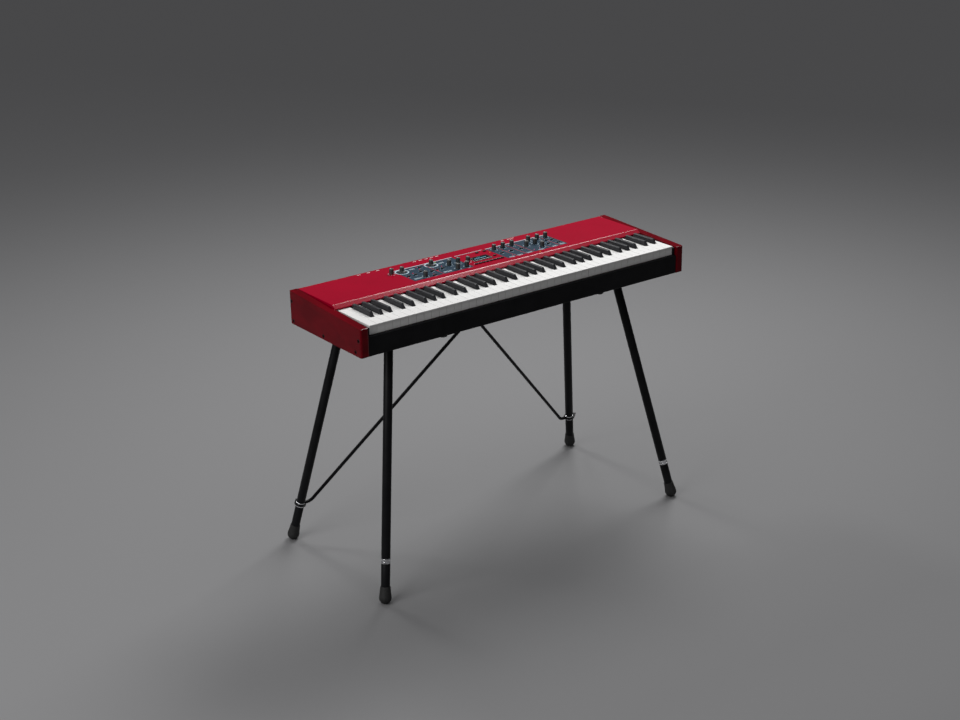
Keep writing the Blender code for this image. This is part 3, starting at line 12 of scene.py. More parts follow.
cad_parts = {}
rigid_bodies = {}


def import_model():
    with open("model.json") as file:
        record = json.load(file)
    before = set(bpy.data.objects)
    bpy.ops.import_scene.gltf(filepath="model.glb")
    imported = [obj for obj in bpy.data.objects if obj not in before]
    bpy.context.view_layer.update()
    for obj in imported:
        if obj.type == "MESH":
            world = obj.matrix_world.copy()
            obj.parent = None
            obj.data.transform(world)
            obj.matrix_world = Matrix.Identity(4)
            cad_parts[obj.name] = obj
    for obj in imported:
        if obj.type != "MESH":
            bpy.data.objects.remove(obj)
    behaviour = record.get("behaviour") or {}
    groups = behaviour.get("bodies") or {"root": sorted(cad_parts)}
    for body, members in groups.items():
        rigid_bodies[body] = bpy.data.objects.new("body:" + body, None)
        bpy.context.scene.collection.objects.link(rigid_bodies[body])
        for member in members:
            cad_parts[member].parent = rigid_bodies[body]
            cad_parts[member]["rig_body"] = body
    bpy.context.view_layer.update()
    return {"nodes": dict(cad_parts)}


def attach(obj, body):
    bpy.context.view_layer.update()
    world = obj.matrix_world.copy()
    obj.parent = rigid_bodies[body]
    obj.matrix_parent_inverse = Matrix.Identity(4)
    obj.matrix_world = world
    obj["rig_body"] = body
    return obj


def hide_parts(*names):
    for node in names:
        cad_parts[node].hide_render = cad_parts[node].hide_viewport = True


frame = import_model()

# %% [markdown]
# The camera stands where the photographer stood: about four and a half metres from the
# instrument, at the bass end, looking down on it. It could be turned until the view looks right,
# but fitting the row of keys and the legs to the photograph gives the angles more exactly.
# They are kept as yaw, pitch and roll, because those are what a photographer would set.

# %% Camera
CAMERA_PLACE = Vector((-2.549, -3.409, 2.147))
YAW, PITCH, ROLL = math.radians(36.64), math.radians(21.34), math.radians(-0.96)
FOCAL_PIXELS = 1648.4
IMAGE_WIDTH = 960
SENSOR_WIDTH = 36               # mm
VIEW_LIMIT = 60                 # m, beyond the far corners of the floor

ahead = Vector((math.sin(YAW) * math.cos(PITCH), math.cos(YAW) * math.cos(PITCH), -math.sin(PITCH)))
level = Vector((math.cos(YAW), -math.sin(YAW), 0))
upward = level.cross(ahead)
across = level * math.cos(ROLL) + upward * math.sin(ROLL)
upright = upward * math.cos(ROLL) - level * math.sin(ROLL)
camera_data = bpy.data.cameras.new("photograph")
camera_data.sensor_width = SENSOR_WIDTH
camera_data.lens = FOCAL_PIXELS / IMAGE_WIDTH * SENSOR_WIDTH
camera_data.clip_end = VIEW_LIMIT
camera = bpy.data.objects.new("photograph", camera_data)
bpy.context.collection.objects.link(camera)
facing = Matrix((across, upright, -ahead)).transposed().to_4x4()
camera.matrix_world = Matrix.Translation(CAMERA_PLACE) @ facing
bpy.context.scene.camera = camera
print("lens", round(camera_data.lens, 1), "mm")

# %% [markdown]
# Almost every step works on one object at a time. Blender's operators act on all that is
# selected, so these helpers select one object, or the faces of it that pass a test, first.

# %% Helpers for picking
def alone(thing):
    """Selects one object and nothing else."""
    bpy.ops.object.select_all(action="DESELECT")
    thing.select_set(True)
    bpy.context.view_layer.objects.active = thing


def edit_faces(thing, test):
    """Opens edit mode with the faces selected whose centre and normal pass the test."""
    alone(thing)
    for part in (thing.data.vertices, thing.data.edges, thing.data.polygons):
        part.foreach_set("select", [False] * len(part))
    for face in thing.data.polygons:
        face.select = bool(test(thing.matrix_world @ face.center, face.normal))
    bpy.ops.object.mode_set(mode="EDIT")
    bpy.ops.mesh.select_mode(type="FACE")


def leave_edit():
    """Goes back to object mode, which writes the edited mesh."""
    bpy.ops.object.mode_set(mode="OBJECT")


# %% [markdown]
# A finished piece has its place in its mesh, as the CAD pieces have, so that a pattern stays where
# it is when the piece moves. These helpers round, place, name, paint and attach a piece. A bevel
# could stay live as a modifier, but applied at once it shows right away what the edges became.

# %% Helpers for placing
def round_edges(thing, width, segments=2, angle=30):
    """Rounds the sharp edges with a bevel that is applied at once."""
    alone(thing)
    rounding = thing.modifiers.new("rounding", "BEVEL")
    rounding.width = width
    rounding.segments = segments
    rounding.limit_method = "ANGLE"
    rounding.angle_limit = math.radians(angle)
    rounding.use_clamp_overlap = False
    bpy.ops.object.modifier_apply(modifier=rounding.name)


def settle(thing, name, finish, body, smooth=35):
    """Applies the place to the mesh, then names, paints and attaches the piece."""
    alone(thing)
    bpy.ops.object.transform_apply(location=True, rotation=True, scale=True)
    bpy.ops.object.shade_smooth_by_angle(angle=math.radians(smooth))
    thing.name = name
    thing.data.materials.clear()
    thing.data.materials.append(finish)
    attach(thing, body)


def joined(things):
    """Joins several objects into the first one."""
    bpy.ops.object.select_all(action="DESELECT")
    for thing in things:
        thing.select_set(True)
    bpy.context.view_layer.objects.active = things[0]
    bpy.ops.object.join()
    return things[0]


def copy_at(thing, offset=(0, 0, 0)):
    """Copies an object with a mesh of its own, shifted by an offset."""
    copy = thing.copy()
    copy.data = thing.data.copy()
    copy.location = thing.location + Vector(offset)
    bpy.context.collection.objects.link(copy)
    return copy


def discard(*things):
    """Removes the patterns that have served their purpose."""
    for thing in things:
        bpy.data.objects.remove(thing)


# %% [markdown]
# Most of the small pieces are round or are cut from a sheet. A round piece could be spun from an
# outline, but here it grows up its own axis, as on a lathe seen ring by ring: a circle is extruded,
# moved up and resized. A sheet is trimmed by planes.

# %% Helpers for round and cut pieces
RING_WELD = 0.000004            # m, rings closer than this become one


def turned(profile, sides=48, closed=False):
    """Grows a round piece through (radius, height) rings; a closed profile leaves a bore."""
    bpy.ops.object.select_all(action="DESELECT")
    radius, height = profile[0]
    bpy.ops.mesh.primitive_circle_add(vertices=sides, radius=radius, location=(0, 0, height),
                                      fill_type="NOTHING" if closed else "NGON")
    thing = bpy.context.object
    bpy.ops.object.transform_apply(location=True, rotation=False, scale=False)
    bpy.ops.object.mode_set(mode="EDIT")
    bpy.ops.mesh.select_mode(type="EDGE" if closed else "FACE")
    bpy.ops.mesh.select_all(action="SELECT")
    rings = [*profile[1:], profile[0]] if closed else profile[1:]
    for wide, high in rings:
        bpy.ops.mesh.extrude_region_move(TRANSFORM_OT_translate={"value": (0, 0, high - height)})
        bpy.ops.transform.resize(value=(wide / radius, wide / radius, 1),
                                 center_override=(0, 0, high))
        radius, height = wide, high
    bpy.ops.mesh.select_all(action="SELECT")
    bpy.ops.mesh.remove_doubles(threshold=RING_WELD)
    bpy.ops.mesh.normals_make_consistent(inside=False)
    leave_edit()
    return thing


def cut_away(place, direction, fill=False):
    """In edit mode, cuts off all that lies beyond a plane, where the direction points."""
    bpy.ops.mesh.select_all(action="SELECT")
    bpy.ops.mesh.bisect(plane_co=place, plane_no=direction, clear_outer=True, use_fill=fill)


def block(low, high):
    """A plain block between two corners, to be shaped further."""
    bpy.ops.object.select_all(action="DESELECT")
    middle = [(a + b) / 2 for a, b in zip(low, high)]
    bpy.ops.mesh.primitive_cube_add(size=1, location=middle)
    thing = bpy.context.object
    thing.scale = [b - a for a, b in zip(low, high)]
    bpy.ops.object.transform_apply(location=True, rotation=False, scale=True)
    return thing


# %% [markdown]
# Each finish is a Principled shader whose plain values sit on its own sockets. Noise in object
# coordinates then breaks up the colour, the gloss and the surface, at the scale that the real
# material shows: orange peel in paint, grain in wood, fine sand in powder coat.

# %% Helpers for finishes
def shader_of(finish):
    """The finish's Principled shader."""
    return finish.node_tree.nodes["Principled BSDF"]


def new_finish(name, colour, roughness, **values):
    """Makes a material whose plain values sit on the shader's own sockets."""
    finish = bpy.data.materials.new(name)
    finish.use_nodes = True
    shader = shader_of(finish)
    shader.inputs["Base Color"].default_value = (*colour, 1)
    shader.inputs["Roughness"].default_value = roughness
    for socket, value in values.items():
        shader.inputs[socket.replace("_", " ")].default_value = value
    return finish


def add_node(finish, kind, **values):
    """Adds a node and sets its properties, or the inputs of that name."""
    node = finish.node_tree.nodes.new(kind)
    for name, value in values.items():
        if hasattr(node, name):
            setattr(node, name, value)
        else:
            node.inputs[name.replace("_", " ")].default_value = value
    return node


def wire(finish, source, output, target, socket):
    """Joins an output of one node to an input of another."""
    finish.node_tree.links.new(source.outputs[output], target.inputs[socket])


def noise(finish, scale, stretch=(1, 1, 1), detail=3.0, distortion=0.0):
    """Noise in the object's own coordinates; scale counts the features in a metre."""
    place = add_node(finish, "ShaderNodeTexCoord")
    mapping = add_node(finish, "ShaderNodeMapping", Scale=stretch)
    texture = add_node(finish, "ShaderNodeTexNoise", Scale=scale, Detail=detail,
                       Distortion=distortion)
    wire(finish, place, "Object", mapping, "Vector")
    wire(finish, mapping, "Vector", texture, "Vector")
    return texture


RAMP_LOW, RAMP_HIGH = 0.35, 0.65        # most of the noise lies between these


def vary_colour(finish, texture, dark, light):
    """Runs the base colour from dark to light with a texture."""
    ramp = add_node(finish, "ShaderNodeValToRGB")
    ramp.color_ramp.elements[0].position = RAMP_LOW
    ramp.color_ramp.elements[0].color = (*dark, 1)
    ramp.color_ramp.elements[1].position = RAMP_HIGH
    ramp.color_ramp.elements[1].color = (*light, 1)
    wire(finish, texture, "Fac", ramp, "Fac")
    wire(finish, ramp, "Color", shader_of(finish), "Base Color")


def vary_gloss(finish, texture, low, high):
    """Runs the roughness between two values with a texture."""
    span = add_node(finish, "ShaderNodeMapRange", To_Min=low, To_Max=high)
    wire(finish, texture, "Fac", span, "Value")
    wire(finish, span, "Result", shader_of(finish), "Roughness")


def emboss(finish, texture, height, strength=0.4):
    """Raises the surface by a height in metres with a texture."""
    bump = add_node(finish, "ShaderNodeBump", Strength=strength, Distance=height)
    wire(finish, texture, "Fac", bump, "Height")
    wire(finish, bump, "Normal", shader_of(finish), "Normal")


def shade(colour, share):
    """The colour made darker or lighter by a share."""
    return tuple(channel * share for channel in colour)


# %% [markdown]
# The panel is sheet steel with a semi-gloss red paint. The cheeks at the ends are wood with a red
# stain under lacquer: darker, glossier and softly mottled along the grain, as the photograph shows.
# The mottling could be painted by hand; noise that is stretched along the grain does as well.

# %% Red finishes
CRIMSON = (0.335, 0.0, 0.018)
WOOD_RED = (0.120, 0.0, 0.004)

panel_paint = new_finish("panel_paint", CRIMSON, 0.18, Specular_IOR_Level=0.25)
vary_colour(panel_paint, noise(panel_paint, 9), shade(CRIMSON, 0.96), shade(CRIMSON, 1.04))
vary_gloss(panel_paint, noise(panel_paint, 60), 0.165, 0.195)
emboss(panel_paint, noise(panel_paint, 900, detail=2), 0.000006)

cheek_wood = new_finish("cheek_wood", WOOD_RED, 0.12, Specular_IOR_Level=0.12)
grain = noise(cheek_wood, 26, (1, 0.45, 1), detail=9, distortion=0.6)
vary_colour(cheek_wood, grain, shade(WOOD_RED, 0.86), shade(WOOD_RED, 1.14))
vary_gloss(cheek_wood, noise(cheek_wood, 80, (1, 0.3, 1)), 0.10, 0.15)
print("red finishes", panel_paint.name, cheek_wood.name)

# %% [markdown]
# The bottom of the case and the stand are black powder coat, which has a fine sandy surface, made
# here by a bump of a fraction of a millimetre. The collars are polished chrome, and the hidden
# sheet parts are zinc plated, with the streaks that plating leaves.

# %% Metal finishes
COAT_BLACK = (0.007, 0.007, 0.008)
ZINC = (0.42, 0.42, 0.44)

powder_coat = new_finish("powder_coat", COAT_BLACK, 0.42, Specular_IOR_Level=0.12)
vary_colour(powder_coat, noise(powder_coat, 25), shade(COAT_BLACK, 0.8), shade(COAT_BLACK, 1.25))
vary_gloss(powder_coat, noise(powder_coat, 300), 0.36, 0.5)
emboss(powder_coat, noise(powder_coat, 1600, detail=2), 0.00008, strength=0.5)

chrome = new_finish("chrome", (0.78, 0.78, 0.8), 0.08, Metallic=1.0)
vary_gloss(chrome, noise(chrome, 400), 0.05, 0.14)

zinc_plate = new_finish("zinc_plate", ZINC, 0.38, Metallic=1.0)
vary_colour(zinc_plate, noise(zinc_plate, 90, detail=5), shade(ZINC, 0.8), shade(ZINC, 1.15))
vary_gloss(zinc_plate, noise(zinc_plate, 200, (1, 8, 1)), 0.28, 0.46)
print("metal finishes", powder_coat.name, chrome.name, zinc_plate.name)

# %% [markdown]
# White keys are satin moulded plastic, a little warm. Black keys are matt with a fine grain, so
# that only their rounded edges shine. Knobs, buttons and feet are duller still.

# %% Plastic finishes
IVORY = (0.80, 0.795, 0.78)
EBONY = (0.018, 0.019, 0.022)
SOOT = (0.036, 0.040, 0.040)

white_plastic = new_finish("white_plastic", IVORY, 0.34, Coat_Weight=0.1, Coat_Roughness=0.2)
vary_colour(white_plastic, noise(white_plastic, 40, detail=5), shade(IVORY, 0.97), IVORY)
vary_gloss(white_plastic, noise(white_plastic, 150), 0.3, 0.4)
emboss(white_plastic, noise(white_plastic, 2000, detail=2), 0.00002)

black_key_plastic = new_finish("black_key_plastic", EBONY, 0.40, Specular_IOR_Level=0.3)
vary_gloss(black_key_plastic, noise(black_key_plastic, 260), 0.36, 0.46)
vary_colour(black_key_plastic, noise(black_key_plastic, 500), shade(EBONY, 0.8), shade(EBONY, 1.3))
emboss(black_key_plastic, noise(black_key_plastic, 2400, detail=2), 0.00004)

knob_plastic = new_finish("knob_plastic", SOOT, 0.5)
vary_colour(knob_plastic, noise(knob_plastic, 700), shade(SOOT, 0.8), shade(SOOT, 1.4))
vary_gloss(knob_plastic, noise(knob_plastic, 300), 0.44, 0.6)
emboss(knob_plastic, noise(knob_plastic, 3000, detail=2), 0.00005)

button_plastic = new_finish("button_plastic", (0.014, 0.015, 0.017), 0.5, Specular_IOR_Level=0.3)
vary_colour(button_plastic, noise(button_plastic, 600),
            (0.011, 0.012, 0.014), (0.019, 0.020, 0.022))
emboss(button_plastic, noise(button_plastic, 2600, detail=2), 0.00005)
print("plastic finishes", white_plastic.name, black_key_plastic.name, knob_plastic.name)

# %% [markdown]
# The rest is rubber at the feet, the dark glass of the display, and what lies inside: the red felt
# that the keys rest on, and green circuit boards. Flat colours would do for such small areas, but
# close up only the noise tells felt from rubber.

# %% Rubber, felt, boards and glass
rubber = new_finish("rubber", (0.012, 0.012, 0.012), 0.72)
vary_colour(rubber, noise(rubber, 200), (0.009, 0.009, 0.009), (0.018, 0.018, 0.018))
emboss(rubber, noise(rubber, 1300, detail=4), 0.00012, strength=0.6)

felt = new_finish("felt", (0.20, 0.012, 0.015), 0.95, Sheen_Weight=0.6)
vary_colour(felt, noise(felt, 1200, detail=6), (0.13, 0.008, 0.01), (0.27, 0.02, 0.02))
emboss(felt, noise(felt, 900, detail=8, distortion=1.5), 0.0005, strength=0.8)

board_green = new_finish("board_green", (0.01, 0.09, 0.035), 0.35)
vary_colour(board_green, noise(board_green, 260, detail=2),
            (0.007, 0.06, 0.022), (0.014, 0.12, 0.05))
emboss(board_green, noise(board_green, 500, detail=2), 0.0001)

screen_glass = new_finish("screen_glass", (0.004, 0.005, 0.007), 0.12,
                          Coat_Weight=0.6, Coat_Roughness=0.05)
vary_gloss(screen_glass, noise(screen_glass, 120), 0.08, 0.18)
print("other finishes", rubber.name, felt.name, board_green.name, screen_glass.name)

# %% [markdown]
# Most CAD pieces already have the right shape, but their edges are perfectly sharp, and a sharp
# edge catches no light. They could be modelled again, but it is enough to copy them: the copy's
# loose triangles are merged, faces can be pulled a little, and its edges get a small bevel.
# Weighted normals then keep the large faces flat. The CAD node stays for the physics.

# %% Softened copies of the CAD pieces
CORNER_WELD = 0.00002           # m
FLAT_ANGLE = math.radians(2)


def softened(node, name, finish, width=0.0, segments=2, angle=32, smooth=35, pulls=()):
    """Stands in for a CAD node with a merged copy whose sharp edges are rounded."""
    source = frame["nodes"][node]
    copy = bpy.data.objects.new(name, source.data.copy())
    bpy.context.collection.objects.link(copy)
    edit_faces(copy, lambda centre, normal: True)
    bpy.ops.mesh.remove_doubles(threshold=CORNER_WELD)
    bpy.ops.mesh.dissolve_limited(angle_limit=FLAT_ANGLE)
    leave_edit()
    for test, distance in pulls:
        edit_faces(copy, test)
        bpy.ops.transform.translate(value=distance)
        leave_edit()
    if width:
        round_edges(copy, width, segments, angle)
    alone(copy)
    evening = copy.modifiers.new("evening", "WEIGHTED_NORMAL")
    evening.keep_sharp = True
    settle(copy, name, finish, source["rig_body"], smooth)
    bpy.ops.object.modifier_apply(modifier=evening.name)
    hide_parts(node)


for end in ("left", "right"):
    softened(end + "_cheek", end + "_cheek_wood", cheek_wood, smooth=20)
    softened("key_block_" + end, "key_block_skin_" + end, powder_coat,
             width=0.0006)
    softened("bracket_" + end, "bracket_coat_" + end, powder_coat, width=0.0005)
    softened("strut_" + end, "strut_coat_" + end, powder_coat)
softened("strut_plate", "strut_plate_coat", powder_coat, width=0.0005)
softened("top_panel", "panel_shell", panel_paint)
softened("base_pan", "base_shell", powder_coat)

# %% [markdown]
# The keys are softened too, but less: a wide rounding would fill the white keys' inner corners,
# and the black caps would cut into it when they are pressed. The black caps also run on under the
# panel's sloping fall, as in the photograph, so their rear faces are pulled back.

# %% Keys
WHITE_FACE = 0.7624             # top of the white keys, in the world
CAPS_BEFORE = -0.07             # the caps end in front of this, in the world
CAP_STRETCH = (0, 0.0085, 0)


def is_cap_rear(centre, normal):
    """Picks the rear faces of the black caps, above the white keys."""
    return normal.y > 0.5 and centre.z > WHITE_FACE and centre.y < CAPS_BEFORE


for register in ("low", "mid", "high"):
    softened("white_keys_" + register, "white_keys_skin_" + register, white_plastic,
             width=0.00015, angle=50)
    softened("black_keys_" + register, "black_keys_skin_" + register, black_key_plastic,
             width=0.0002, angle=40, pulls=[(is_cap_rear, CAP_STRETCH)])

# %% [markdown]
# What lies under the panel shows only at the openings, such as the jacks and the mains inlet at
# the rear, but it gets its own finish too. Its edges could be softened like the others. That would
# hardly be seen, so the CAD's shapes are used as they are.

# %% Finishes of the inner pieces
def paint_node(node, finish):
    """Gives a CAD node a finish and leaves its shape as it is."""
    piece = frame["nodes"][node]
    piece.data.materials.clear()
    piece.data.materials.append(finish)


INNER = {
    "key_frame": (zinc_plate, "zinc_steel"),
    "key_pivot_rod": (zinc_plate, "zinc_steel"),
    "jack_board": (zinc_plate, "zinc_steel"),
    "key_rest_felt": (felt, "felt"),
    "key_contact_board": (board_green, "circuit_board"),
    "control_board": (board_green, "circuit_board"),
    "main_board": (board_green, "circuit_board"),
    "power_inlet": (button_plastic, "black_plastic"),
    "power_rocker": (knob_plastic, "black_plastic"),
}
for node, (finish, slot) in INNER.items():
    paint_node(node, finish)
print("inner pieces", len(INNER))

# %% [markdown]
# The button caps look taller in the photograph than they are in the CAD, so their top faces are
# pulled up before their edges are rounded. Their feet are lifted by a hair, so that a pressed cap
# stops just short of its switch. The display's window only needs its edge broken.

# %% Buttons and window
PANEL_TOP = 0.775               # the panel's face, in the world
CAPS_ABOVE = 0.001              # the caps stand higher than this over it
CAP_GROWTH = (0, 0, 0.0014)
FOOT_LIFT = (0, 0, 0.0002)


def is_cap_top(centre, normal):
    """Picks the caps' top faces, which stand above the panel."""
    return normal.z > 0.9 and centre.z > PANEL_TOP + CAPS_ABOVE


def is_foot(centre, normal):
    """Picks the faces that look down."""
    return normal.z < -0.9


for family in ("instrument", "program", "effect"):
    softened(family + "_buttons", family + "_button_caps", button_plastic,
             width=0.0005, segments=3, angle=60,
             pulls=[(is_cap_top, CAP_GROWTH), (is_foot, FOOT_LIFT)])
softened("display_window", "display_glass", screen_glass, width=0.0003)

# %% [markdown]
# Each leg is a round tube that leans outwards. The four could be modelled one by one in their
# places, but they are alike. So each piece is made once, standing on its own axis with the collar
# at zero, and its copies are laid along the four legs. The outlines are (radius, height) rings.

# %% Leg patterns
TUBE_RADIUS = 0.0120
TUBE_BORE = 0.0105
TUBE_FROM, TUBE_TO = 0.0069, 0.5857     # from the collar to the bracket
INNER_RADIUS = 0.0090
RING_BORE, RING_NECK, RING_RADIUS = 0.0093, 0.0102, 0.0125
RING_END = 0.0066                       # half the collar's length
GROOVE_END = 0.0020                     # half the groove's width
PLUG_END = 0.0266                       # the collar's neck inside the tube
BOOT_CENTRE = -0.0977                   # the ball that ends the boot
BOOT_RADIUS = 0.0166

tube = turned([(TUBE_RADIUS, TUBE_FROM), (TUBE_RADIUS, TUBE_TO),
               (TUBE_BORE, TUBE_TO), (TUBE_BORE, TUBE_FROM)], closed=True)
round_edges(tube, 0.0004)
ring = turned([(RING_BORE, PLUG_END), (RING_NECK, PLUG_END), (RING_NECK, RING_END),
               (RING_RADIUS, RING_END), (RING_RADIUS, GROOVE_END), (RING_NECK, GROOVE_END),
               (RING_NECK, -GROOVE_END), (RING_RADIUS, -GROOVE_END), (RING_RADIUS, -RING_END),
               (RING_BORE, -RING_END)], closed=True)
round_edges(ring, 0.0007, segments=3)
sleeve = turned([(INNER_RADIUS, 0.1500), (INNER_RADIUS, -TUBE_FROM),
                 (TUBE_RADIUS, -TUBE_FROM), (TUBE_RADIUS, -0.0900)])
round_edges(sleeve, 0.0004)
boot_outline = [(0.0122, -0.0682), (0.0136, -0.0682), (0.0139, -0.0740), (0.0150, -0.0850),
                (0.0163, -0.0935)]
boot_outline += [(BOOT_RADIUS * math.cos(turn), BOOT_CENTRE - BOOT_RADIUS * math.sin(turn))
                 for turn in (math.radians(12 * step) for step in range(7))]
boot = turned(boot_outline)
round_edges(boot, 0.0005)
for pattern in (tube, ring, sleeve, boot):
    print("leg pattern faces", len(pattern.data.polygons))

# %% [markdown]
# The inner tube slides in the outer one, so the sleeve and the rubber boot ride on a body of their
# own, the lower leg. The boot leans with its leg. Its end could be shaped to the floor by hand,
# but it is simpler to let it end in a ball and to cut the ball off level at the floor.

# %% Legs, collars and boots
LEG_FOOT = Vector((0.508, 0.234, 0.0))
LEG_HEAD = Vector((0.385, 0.1095, 0.659))
COLLAR_UP = 0.1138              # from the floor to the collar, along the leg
SIDES = {"front_left": (-1, -1), "front_right": (1, -1), "rear_left": (-1, 1), "rear_right": (1, 1)}


def leg_place(corner):
    """The place and lean of a leg, with its collar at zero and Z up along the tube."""
    signs = Vector((*SIDES[corner], 1))
    foot, head = LEG_FOOT * signs, LEG_HEAD * signs
    lean = (head - foot).normalized()
    turning = lean.to_track_quat("Z", "Y").to_matrix().to_4x4()
    return Matrix.Translation(foot + lean * COLLAR_UP) @ turning


for corner in SIDES:
    for pattern, name, finish, body, slot, node in (
            (tube, "leg_tube_", powder_coat, "case", "black_steel", "leg_"),
            (ring, "collar_rings_", chrome, "case", "chrome", "leg_collar_"),
            (sleeve, "sleeve_", powder_coat, "lower_leg_" + corner, "black_steel", "lower_leg_"),
            (boot, "boot_", rubber, "lower_leg_" + corner, "black_plastic", "lower_leg_")):
        piece = copy_at(pattern)
        piece.matrix_world = leg_place(corner)
        settle(piece, name + corner, finish, body)
        if pattern is boot:
            edit_faces(piece, lambda centre, normal: True)
            cut_away((0, 0, 0), (0, 0, -1), fill=True)
            leave_edit()
        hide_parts(node + corner)
discard(tube, ring, sleeve, boot)
print("leg pieces", 4 * len(SIDES))

# %% [markdown]
# A knob is a moulded cylinder with a fluted grip. Its wall is turned with 48 faces. Every second
# one is inset and pushed in, which leaves the flutes. They could be cut with a row of cylinders,
# but faces that are already there need no cutting. Two selectors have the same knob on a skirt.

# %% Knob patterns
GRIP_LOW, GRIP_HIGH = 0.005, 0.013      # between these the wall is fluted
WALL_FACE = 7.5                         # degrees, one face of the 48
FLUTE_RIM = 0.00008
FLUTE_DEPTH = 0.00022


def is_flute(centre, normal):
    """Picks every second face of the upright wall."""
    if not GRIP_LOW < centre.z < GRIP_HIGH or abs(normal.z) >= 0.1:
        return False
    return round(math.degrees(math.atan2(centre.y, centre.x)) / WALL_FACE - 0.5) % 2 == 0


def knob_pattern(foot):
    """Turns a knob on its foot and presses flutes into its wall."""
    knob = turned([*foot, (0.0060, 0.0046), (0.0060, 0.0134), (0.0056, 0.0146), (0.0050, 0.0150),
                   (0.0047, 0.0147)])
    edit_faces(knob, is_flute)
    bpy.ops.mesh.inset(thickness=FLUTE_RIM, depth=-FLUTE_DEPTH, use_individual=True)
    leave_edit()
    return knob


plain = knob_pattern([(0.0058, 0.0008), (0.0060, 0.0012)])
skirted = knob_pattern([(0.0110, 0.0008), (0.0110, 0.0022), (0.0104, 0.0028), (0.0066, 0.0036)])
line = block((-0.00045, 0.0010, 0.01465), (0.00045, 0.0052, 0.01525))
round_edges(line, 0.0001, segments=1)
print("knob faces", len(plain.data.polygons), len(skirted.data.polygons))

# %% [markdown]
# The places are distances from the middle of the case and from its front, as they would be
# marked out on the real panel. Each knob turns on a body of its own, and the white line that is
# printed from its middle to its rim rides on that body too, or it would stay behind.

# %% Knobs
CASE_FRONT = -0.219             # the front of the cheeks, in the world
KNOBS = {
    "level_knob": (-0.259, 0.275),
    "timbre_knob": (-0.200, 0.202),
    "attack_knob": (-0.096, 0.240),
    "release_knob": (-0.066, 0.240),
    "filter_knob": (-0.096, 0.200),
    "sample_level_knob": (-0.066, 0.200),
    "program_dial": (-0.040, 0.231),
    "effect_1_knob": (0.080, 0.272),
    "effect_2_knob": (0.111, 0.272),
    "effect_3_knob": (0.142, 0.272),
    "drive_knob": (0.170, 0.241),
    "delay_mix_knob": (0.202, 0.274),
    "delay_time_knob": (0.202, 0.243),
    "delay_repeat_knob": (0.202, 0.211),
    "reverb_knob": (0.232, 0.272),
    "tone_knob": (0.262, 0.272),
}
SELECTORS = {"piano_select_knob": (-0.229, 0.270), "sample_select_knob": (-0.134, 0.270)}

print_white = new_finish("print_white", (0.75, 0.76, 0.75), 0.5)
vary_colour(print_white, noise(print_white, 900), (0.70, 0.71, 0.70), (0.80, 0.81, 0.80))


def on_panel(x, y, lift=0.0):
    """A place on the panel's face, x from the middle and y from the front of the cheeks."""
    return Vector((x, y + CASE_FRONT, PANEL_TOP + lift))


for pattern, sites in ((plain, KNOBS), (skirted, SELECTORS)):
    for node, site in sites.items():
        knob = copy_at(pattern, on_panel(*site))
        settle(knob, node + "_grip", knob_plastic, node, smooth=24)
        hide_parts(node)
        settle(copy_at(line, on_panel(*site)), node + "_line", print_white, node)
discard(plain, skirted, line)
print("knobs", len(KNOBS) + len(SELECTORS))

# %% [markdown]
# The control fields are slate blue ink, screen printed on the red paint, and the display has a
# black surround. They could be painted by a texture, but a film has a clean edge at any distance.
# Each is cut out of the panel's own top face, so it has the same holes for the shafts, caps and
# window, and is then given the thickness of a layer of ink.

# %% Printed fields
INK = 0.00006                   # thickness of a film
FILM_GAP = 0.00001              # between a film and what it lies on
FIELD_FRONT, FIELD_REAR = 0.187, 0.288
FIELDS = {"left": (-0.2445, -0.1500), "middle": (-0.1490, -0.0520), "right": (0.0635, 0.2745)}
SURROUND = (-0.0250, 0.0380, 0.2175, 0.2530)    # left, right, front and rear
FILM_WELD = 0.00001
TOP_TOLERANCE = 0.0001
SLATE = (0.026, 0.050, 0.076)

print_slate = new_finish("print_slate", SLATE, 0.26, Specular_IOR_Level=0.25)
vary_colour(print_slate, noise(print_slate, 120), shade(SLATE, 0.9), shade(SLATE, 1.12))
print_black = new_finish("print_black", (0.006, 0.006, 0.007), 0.3)
vary_gloss(print_black, noise(print_black, 300), 0.26, 0.34)


def is_off_top(centre, normal):
    """Picks every face but those of the panel's flat top."""
    return centre.z < PANEL_TOP - TOP_TOLERANCE or normal.z < 0.99


def print_film(name, finish, left, right, front, rear):
    """Cuts a film of ink out of the panel's top face, between four edges."""
    film = bpy.data.objects.new(name, frame["nodes"]["top_panel"].data.copy())
    bpy.context.collection.objects.link(film)
    edit_faces(film, is_off_top)
    bpy.ops.mesh.delete(type="FACE")
    for place, direction in ((on_panel(left, front), (-1, 0, 0)),
                             (on_panel(right, front), (1, 0, 0)),
                             (on_panel(left, front), (0, -1, 0)),
                             (on_panel(left, rear), (0, 1, 0))):
        cut_away(place, direction)
    bpy.ops.mesh.select_all(action="SELECT")
    bpy.ops.mesh.remove_doubles(threshold=FILM_WELD)
    bpy.ops.transform.translate(value=(0, 0, FILM_GAP))
    bpy.ops.mesh.extrude_region_move(TRANSFORM_OT_translate={"value": (0, 0, INK)})
    bpy.ops.mesh.select_all(action="SELECT")
    bpy.ops.mesh.normals_make_consistent(inside=False)
    leave_edit()
    settle(film, name, finish, "case")
    print(film.name, "faces", len(film.data.polygons))


for name, (left, right) in FIELDS.items():
    print_film("print_field_" + name, print_slate, left, right, FIELD_FRONT, FIELD_REAR)
print_film("print_field_display", print_black, *SURROUND)

# %% [markdown]
# The legends beside the controls are words on the real panel. Here they are plain pale bars of
# about the same length and spacing, which say nothing. One bar is modelled, a millimetre long,
# and every mark is a copy of it, stretched to its length.

# %% Helpers for printed marks
MARK_THICKNESS = 0.00005
MARK_LIFT = INK + 2 * FILM_GAP  # clear of the fields' ink
BAR_HEIGHT = 0.8                # mm

